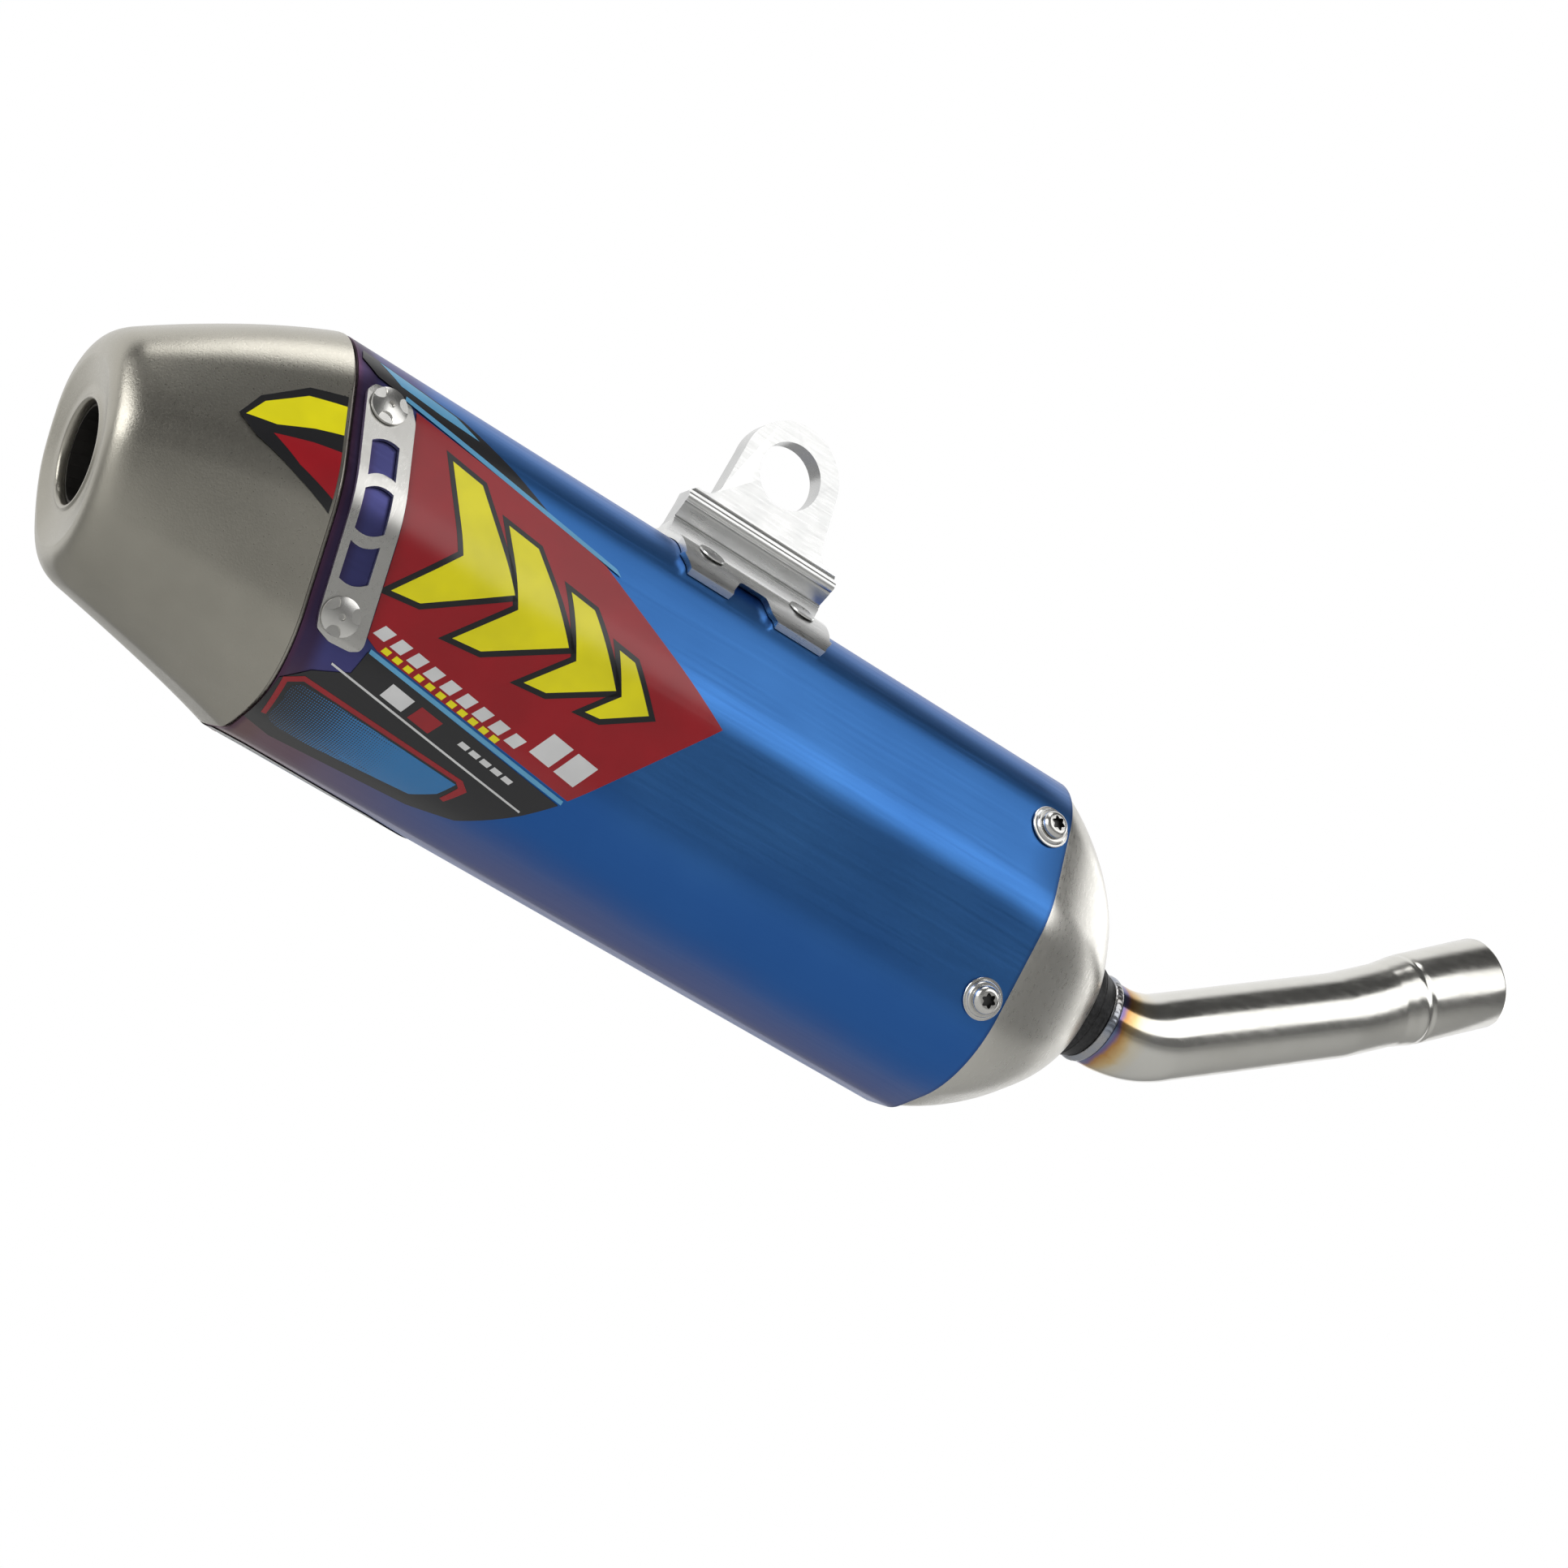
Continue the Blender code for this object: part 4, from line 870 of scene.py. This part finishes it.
def make_fasteners():
    seat = GAP + STRAP_THICK + GAP
    grip = seat + SLEEVE_WALL + GAP + CAP_WALL
    spots = [(cut_x(on_section(s)[1]) + STRAP_RIVET_ACROSS, side * s)
             for side in (1, -1) for s in STRAP_RIVETS]
    for k, (x, s) in enumerate(spots, 1):
        make_rivet(f"strap_pop_rivet_{k}", surface_frame(x, s, seat), *STRAP_HEAD, grip, POLISHED,
                   "stainless", f"strap_rivet_{k}", True)
    seat = GAP + FLANGE_THICK + GAP
    spots = [(x, s) for s in BRACKET_RIVET_S for x in BRACKET_RIVET_X]
    for k, (x, s) in enumerate(spots, 1):
        make_rivet(f"bracket_pop_rivet_{k}", surface_frame(x, s, seat), *BRACKET_HEAD,
                   seat + SLEEVE_WALL, BILLET, "aluminium", f"bracket_rivet_{k}", False)

    under = -SKIRT_IN - CAP_WALL
    spots = [(SCREW_X, side * s) for side in (1, -1) for s in SCREW_PLACES]
    for k, (x, s) in enumerate(spots, 1):
        place = surface_frame(x, s, 0.0)
        dish = [(3.0, GAP), (7.2, GAP), (7.45, GAP + 0.15), (7.45, GAP + 0.5), (7.25, GAP + 0.7),
                (6.7, GAP + 0.75), (6.35, GAP + 1.0), (6.15, GAP + 1.5), (5.85, GAP + 1.85),
                (5.5, GAP + WASHER_HEIGHT), (3.0, GAP + WASHER_HEIGHT)]
        bm = bmesh.new()
        loft(bm, lathe_rings(dish, place, 64), closed=True)
        piece(finish_mesh(bm, f"dished_washer_{k}", [POLISHED]), "stainless", f"screw_washer_{k}")
        head = GAP + WASHER_HEIGHT + GAP
        profile = [(2.0, under - 4.0), (2.2, under - 3.7), (2.2, head), (4.7, head),
                   (4.95, head + 0.2), (5.0, head + 0.5), (4.92, head + 0.95),
                   (4.7, head + 1.5), (4.3, head + 2.0), (3.8, head + 2.4), (3.2, head + 2.6),
                   (2.8, head + 2.65)]
        bm = bmesh.new()
        lathe(bm, profile, place, 64)
        screw = finish_mesh(bm, f"button_screw_{k}", [POLISHED, SOCKET_PAINTED_SHADE])
        bm = bmesh.new()
        prism(bm, star_socket(SOCKET_RADIUS), place, head + 0.8, head + 6)
        boolean(screw, bm)
        low = place.inverted()
        # The socket's inner faces take the dark metal, which paints their shade.
        for face in screw.data.polygons:
            spot = low @ face.center / MM
            if hypot(spot.x, spot.y) < SOCKET_RADIUS + 0.01 and head + 0.5 < spot.z < head + 2.5:
                face.material_index = 1
        flatten_normals(screw, 30)
        piece(screw, "stainless", f"cap_screw_{k}")


# ---- bracket ---------------------------------------------------------------------------
def flange_line(start, end, offset):
    stops = section_breaks(min(start, end), max(start, end))
    line = []
    for s in [start] + (stops[::-1] if end < start else stops) + [end]:
        n, u, dn, du = on_section(s)
        line.append((n + dn * offset, u + du * offset))
    return line


def bracket_profile():
    near_n, far_n = HANGER[1] + LUG_HALF, HANGER[1] - LUG_HALF
    top = HANGER[2] + LUG_RADIUS + 3.0
    near = [
        (near_n, top), (near_n, 75.0), (27.9, 74.7), (27.1, 74.3), (27.1, 73.1),
        (28.1, 72.9), (28.5, 72.6), (28.7, 71.8), (28.6, 70.6), (27.9, 69.6),
        (27.2, 69.4), (26.9, 68.5),
        (23.3, 64.9), (23.8, 64.3), (23.4, 63.7), (23.9, 63.1), (23.6, 61.3),
    ]
    far = [(15.0, 62.5), (16.2, 63.4), (17.3, 66.0), (19.6, 70.4), (far_n, 75.0), (far_n, top)]
    thick = GAP + FLANGE_THICK
    return (near + flange_line(23.0, 52.0, thick) + flange_line(52.4, -5.4, GAP)
            + flange_line(-5.0, 13.4, thick) + far)


def lug_outline():
    x0, u0 = HANGER[0], HANGER[2]
    low, high = BRACKET_LOW, BRACKET_HIGH
    centre, fillet_u = LUG_FOOT_HALF + LUG_FILLET, SHOULDER_U + LUG_FILLET
    feet = rounded([
        (low, 46.5), (low + 3.2, 42.0), (low + 5.0, 34.0),
        (-151.0, 34.0), (-150.2, 43.0), (-147.6, 48.2),
        (-136.8, 48.2), (-134.2, 42.6), (-131.5, 41.0), (-130.5, 34.0),
        (-112.6, 34.0), (-111.6, 42.0), (high, 46.5),
    ], 1.2, 2)
    return (
        feet
        + [(high, SHOULDER_U - 2.0), (high - 2.0, SHOULDER_U)]
        + arc(x0 + centre, fillet_u, LUG_FILLET, 270, 180, 10)
        + arc(x0, u0, LUG_RADIUS, 0, 180, 60)
        + arc(x0 - centre, fillet_u, LUG_FILLET, 0, -90, 10)
        + [(low + 2.0, SHOULDER_U), (low, SHOULDER_U - 2.0)]
    )


def side_on(bm, outline, near, far):
    """Extrudes an (x, u) outline across the can."""
    capped(bm, [[at(x, n, u) for x, u in outline] for n in (near, far)])


def make_bracket():
    profile = bracket_profile()
    bm = bmesh.new()
    capped(bm, [[at(x, n, u) for n, u in profile] for x in (BRACKET_LOW, BRACKET_HIGH)])
    bracket = finish_mesh(bm, "hanger_bracket", [BILLET])
    bm = bmesh.new()
    side_on(bm, lug_outline(), 110.0, -60.0)
    boolean(bracket, bm, "INTERSECT")
    bm = bmesh.new()
    side_on(bm, arc(HANGER[0], HANGER[2], HANGER_RADIUS, 0, 354, 59), 60.0, -10.0)
    boolean(bracket, bm)
    bevel(bracket, 0.45, 40)
    return piece(bracket, "aluminium", "mount_bracket")


# ---- graphics --------------------------------------------------------------------------
def grow(loop, distance):
    """Moves a loop's edges outwards by a distance, with mitred corners."""
    area = sum(a[0] * b[1] - b[0] * a[1] for a, b in zip(loop, loop[1:] + loop[:1]))
    side = 1 if area > 0 else -1
    result = []
    for i, p in enumerate(loop):
        a, b, c = Vector(loop[i - 1]), Vector(p), Vector(loop[(i + 1) % len(loop)])
        d1, d2 = (b - a).normalized(), (c - b).normalized()
        n1, n2 = Vector((d1.y, -d1.x)) * side, Vector((d2.y, -d2.x)) * side
        mitre = (n1 + n2).normalized()
        q = b + mitre * min(distance / max(mitre.dot(n1), 0.3), distance * 2.5)
        result.append((q.x, q.y))
    return result


def edge_of_strap(s):
    """x just beyond the strap's inlet side."""
    return cut_x(on_section(s)[1]) + STRAP_GAP + STRAP_WIDTH + 0.7


def strap_side(start, end, steps=10):
    return [(edge_of_strap(s), s)
            for s in (start + (end - start) * k / steps for k in range(steps + 1))]


def bar(a, b, width):
    """A straight line of the given width along s."""
    half = width / 2
    return [(a[0], a[1] - half), (b[0], b[1] - half), (b[0], b[1] + half), (a[0], a[1] + half)]


def flash(x, s, length, lean, height, point):
    """A slanted arrow-like flash that points towards the inlet."""
    return [(x, s - height), (x + length * 0.62, s - height * 0.92),
            (x + length + point, s + lean), (x + length * 0.45, s + height * 0.95),
            (x - length * 0.08, s + height), (x + point * 0.9, s + lean * 0.6)]


def dashes(start, end, count, height, lean, fill):
    """A row of slanted dashes, in place of small lettering."""
    result = []
    for k in range(count):
        a, b = k / count, (k + fill) / count
        xa, sa = start[0] + (end[0] - start[0]) * a, start[1] + (end[1] - start[1]) * a
        xb, sb = start[0] + (end[0] - start[0]) * b, start[1] + (end[1] - start[1]) * b
        result.append([(xa + lean, sa), (xb + lean, sb), (xb, sb + height), (xa, sa + height)])
    return result


def sleeve_layers():
    """(outline, material, layer) of the side graphic, on the (x, s) plane."""
    upper_black = [(-296.5, 41.0), (-279.9, 43.5), (-257.8, 46.6), (-236.0, 55.0),
                   (-215.6, 64.1), (-192.4, 67.5), (-279.1, 52.6), (-290.0, 50.5),
                   (-296.5, 46.0)]
    red = strap_side(55.5, 131.0) + [(-253.5, 133.0), (-173.5, 143.4), (-138.4, 98.0),
                                     (-175.4, 78.6), (-196.0, 68.0), (-213.8, 63.8)]
    lower_black = [(-255.8, 134.6), (-175.2, 146.2), (-183.4, 155.9), (-198.1, 171.5),
                   (-213.3, 177.5), (-262.8, 182.6), (-273.6, 179.5), (-274.9, 156.0),
                   (-268.0, 148.5), (-257.0, 143.0)]
    panel = [(-270.0, 156.5), (-267.0, 153.6), (-207.0, 157.6), (-209.5, 164.5),
             (-216.0, 171.2), (-262.0, 176.6), (-268.6, 173.0)]
    roof = [(-271.2, 172.4), (-274.0, 155.0), (-268.6, 151.2), (-206.0, 155.2),
            (-202.5, 158.0), (-206.0, 166.0), (-207.8, 165.5), (-205.6, 158.3),
            (-207.6, 156.7), (-267.8, 152.9), (-272.0, 155.8), (-269.6, 172.0)]
    layers = [
        (upper_black, BLACK, 0), (red, RED, 0), (lower_black, BLACK, 0),
        ([(-290.0, 42.6), (-281.0, 43.9), (-260.5, 47.0), (-251.0, 51.5), (-266.0, 50.6),
          (-281.5, 48.6)], SKY, 1),
        ([(-279.1, 51.7), (-192.4, 66.6), (-190.0, 68.6), (-279.1, 53.6)], SKY, 1),
        (bar((-255.4, 134.2), (-174.6, 144.9), 1.5), SKY, 1),
        (bar((-263.9, 143.4), (-184.3, 154.7), 0.7), WHITE, 1),
        (panel, DOTS, 1), (roof, RED, 2),
    ]
    flashes = [flash(-257.5, 89.5, 19.5, 6.0, 25.0, 15.5),
               flash(-232.5, 96.0, 19.5, 5.0, 21.5, 14.5),
               flash(-205.0, 101.0, 15.5, 4.0, 17.0, 12.0),
               flash(-182.5, 104.5, 10.5, 2.0, 11.5, 8.5)]
    for loop in flashes:
        layers += [(grow(loop, 1.9), BLACK, 1), (loop, YELLOW, 2)]
    for loop in dashes((-257.5, 124.8), (-196.0, 134.0), 9, 4.0, 2.6, 0.66):
        layers.append((loop, WHITE, 1))
    for loop in dashes((-252.5, 130.6), (-203.0, 137.6), 11, 1.9, 0.9, 0.6):
        layers.append((loop, YELLOW, 1))
    for loop in dashes((-193.5, 127.0), (-172.5, 130.0), 2, 9.0, 4.6, 0.8):
        layers.append((loop, WHITE, 1))
    layers += [
        ([(-243.5, 139.2), (-234.5, 140.5), (-236.5, 145.6), (-245.3, 144.4)], WHITE, 1),
        ([(-231.5, 140.9), (-222.8, 142.1), (-225.2, 147.3), (-233.8, 146.1)], RED, 1),
    ]
    for loop in dashes((-215.0, 143.8), (-192.0, 147.0), 5, 1.7, 0.8, 0.75):
        layers.append((loop, WHITE, 1))
    return layers


def cap_layers():
    """The graphic's tail on the outlet cap, on the (share, s) plane."""
    tail = [(0.035, 64.5), (0.20, 64.0), (0.40, 70.5), (0.485, 79.0), (0.40, 86.5),
            (0.20, 96.5), (0.035, 104.0)]
    flare = [(0.035, 68.0), (0.20, 67.2), (0.38, 72.5), (0.455, 79.0), (0.32, 80.5),
             (0.16, 78.5), (0.035, 78.0)]
    wedge = [(0.035, 84.0), (0.16, 83.5), (0.33, 84.0), (0.20, 92.5), (0.035, 99.5)]
    return [(tail, BLACK, 0), (flare, YELLOW, 1), (wedge, RED, 1)]


def on_cap(share, s, offset):
    upper = max(k for k, row in enumerate(CAP_ROWS[:-1]) if row[0] <= max(share, 0.0201))
    a, b = CAP_ROWS[upper], CAP_ROWS[upper + 1]
    part = (share - a[0]) / (b[0] - a[0])
    station = on_section(s)
    return cap_spot(station, a, SKIRT_IN, offset).lerp(cap_spot(station, b, SKIRT_IN, offset), part)


def make_graphics():
    films = [RED, YELLOW, BLACK, SKY, WHITE, DOTS]
    breaks = section_breaks(-PERIMETER / 2, PERIMETER / 2)
    for side, word in ((1, "right"), (-1, "left")):
        for name, layers, place, lift, rows in (
            ("sleeve", sleeve_layers(), on_sleeve, GAP, ()),
            ("cap", cap_layers(), on_cap, 0.5, [row[0] for row in CAP_ROWS[1:]]),
        ):
            bm = bmesh.new()
            for outline, mat, layer in layers:
                loop = [(a, side * b) for a, b in outline][::side]
                low = lift + 0.05 * layer
                sheet_mesh(bm, loop, low, low + 0.09, place, breaks, films.index(mat), rows=rows)
            film = finish_mesh(bm, f"{name}_graphic_{word}", films)
            paint(film, lay=lambda x, n, u: x, girth=girth_of)
            piece(film, "decal", f"{name}_decal_{word}")


make_sleeve()
make_dome()
make_outlet_cap()
make_collar()
make_weld()
make_pipe()
make_straps()
make_fasteners()
make_bracket()
make_graphics()

for name, mat in (("outlet_tube", SOOTED), ("perforated_core", CORE), ("packing", FIBRE),
                  *((f"rivet_nut_{k}", PLATED) for k in range(1, 5))):
    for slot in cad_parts[name].material_slots:
        slot.material = mat


# ---- floor, light and camera -----------------------------------------------------------
def make_floor():
    bm = bmesh.new()
    bmesh.ops.create_circle(bm, cap_ends=True, segments=96, radius=FLOOR_RADIUS)
    bmesh.ops.translate(bm, verts=bm.verts, vec=(0, 0, FLOOR_Z))
    paper = blank("floor_paper", (0.62, 0.62, 0.61), 0.8, 0.0)[0]
    finish_mesh(bm, "studio_floor", [paper])


def area_light(name, place, target, size, power):
    data = bpy.data.lights.new(name, "AREA")
    data.shape = "RECTANGLE"
    data.size, data.size_y = size
    data.energy = power
    lamp = bpy.data.objects.new(name, data)
    lamp.location = place
    lamp.rotation_euler = (Vector(target) - Vector(place)).to_track_quat("-Z", "Y").to_euler()
    lamp.visible_camera = False
    bpy.context.collection.objects.link(lamp)


def make_world():
    """White behind the part, dim on the camera's side, so that the metal has contrast."""
    world = bpy.data.worlds.new("studio")
    world.use_nodes = True
    tree = world.node_tree
    sky = tree.nodes["Background"]
    way = node(tree, "TexCoord").outputs["Generated"]
    parts = node(tree, "SeparateXYZ", {0: way}).outputs
    front = remap(tree, parts["Z"], 0.2, 0.6, 0.16, 0.07, smooth=True)
    behind = remap(tree, parts["Y"], 0.0, 0.3, smooth=True)
    strength = node(tree, "Mix", {0: behind, 2: front, 3: 1.0}).outputs[0]
    tree.links.new(strength, sky.inputs["Strength"])
    sky.inputs["Color"].default_value = (1, 1, 1, 1)
    bpy.context.scene.world = world


def make_camera():
    right, back = Vector(CAMERA_RIGHT).normalized(), Vector(CAMERA_BACK)
    back = (back - right * back.dot(right)).normalized()
    up = back.cross(right)
    data = bpy.data.cameras.new("photo_view")
    data.lens, data.sensor_width = CAMERA_LENS, 36.0
    data.clip_start, data.clip_end = 0.01, 100.0
    camera = bpy.data.objects.new("photo_view", data)
    place = Matrix((right, up, back)).transposed().to_4x4()
    place.translation = Vector(CAMERA_PLACE)
    camera.matrix_world = place
    bpy.context.collection.objects.link(camera)
    bpy.context.scene.camera = camera


make_floor()
make_world()
make_camera()
area_light("key_panel", (1.3, -1.25, 0.75), (1.3, 0.0, -0.1), (2.4, 1.0), 12.5)
area_light("overhead_panel", (-0.45, -0.3, 1.45), (-0.2, 0.0, -0.1), (0.9, 0.8), 5.8)
area_light("fill_panel", (-1.6, -0.7, 0.2), (0.0, 0.0, -0.1), (1.1, 1.1), 13.0)
area_light("right_panel", (1.5, 0.35, 0.45), (0.15, 0.0, -0.1), (0.8, 0.8), 2.5)
bpy.context.scene.view_settings.view_transform = "Standard"
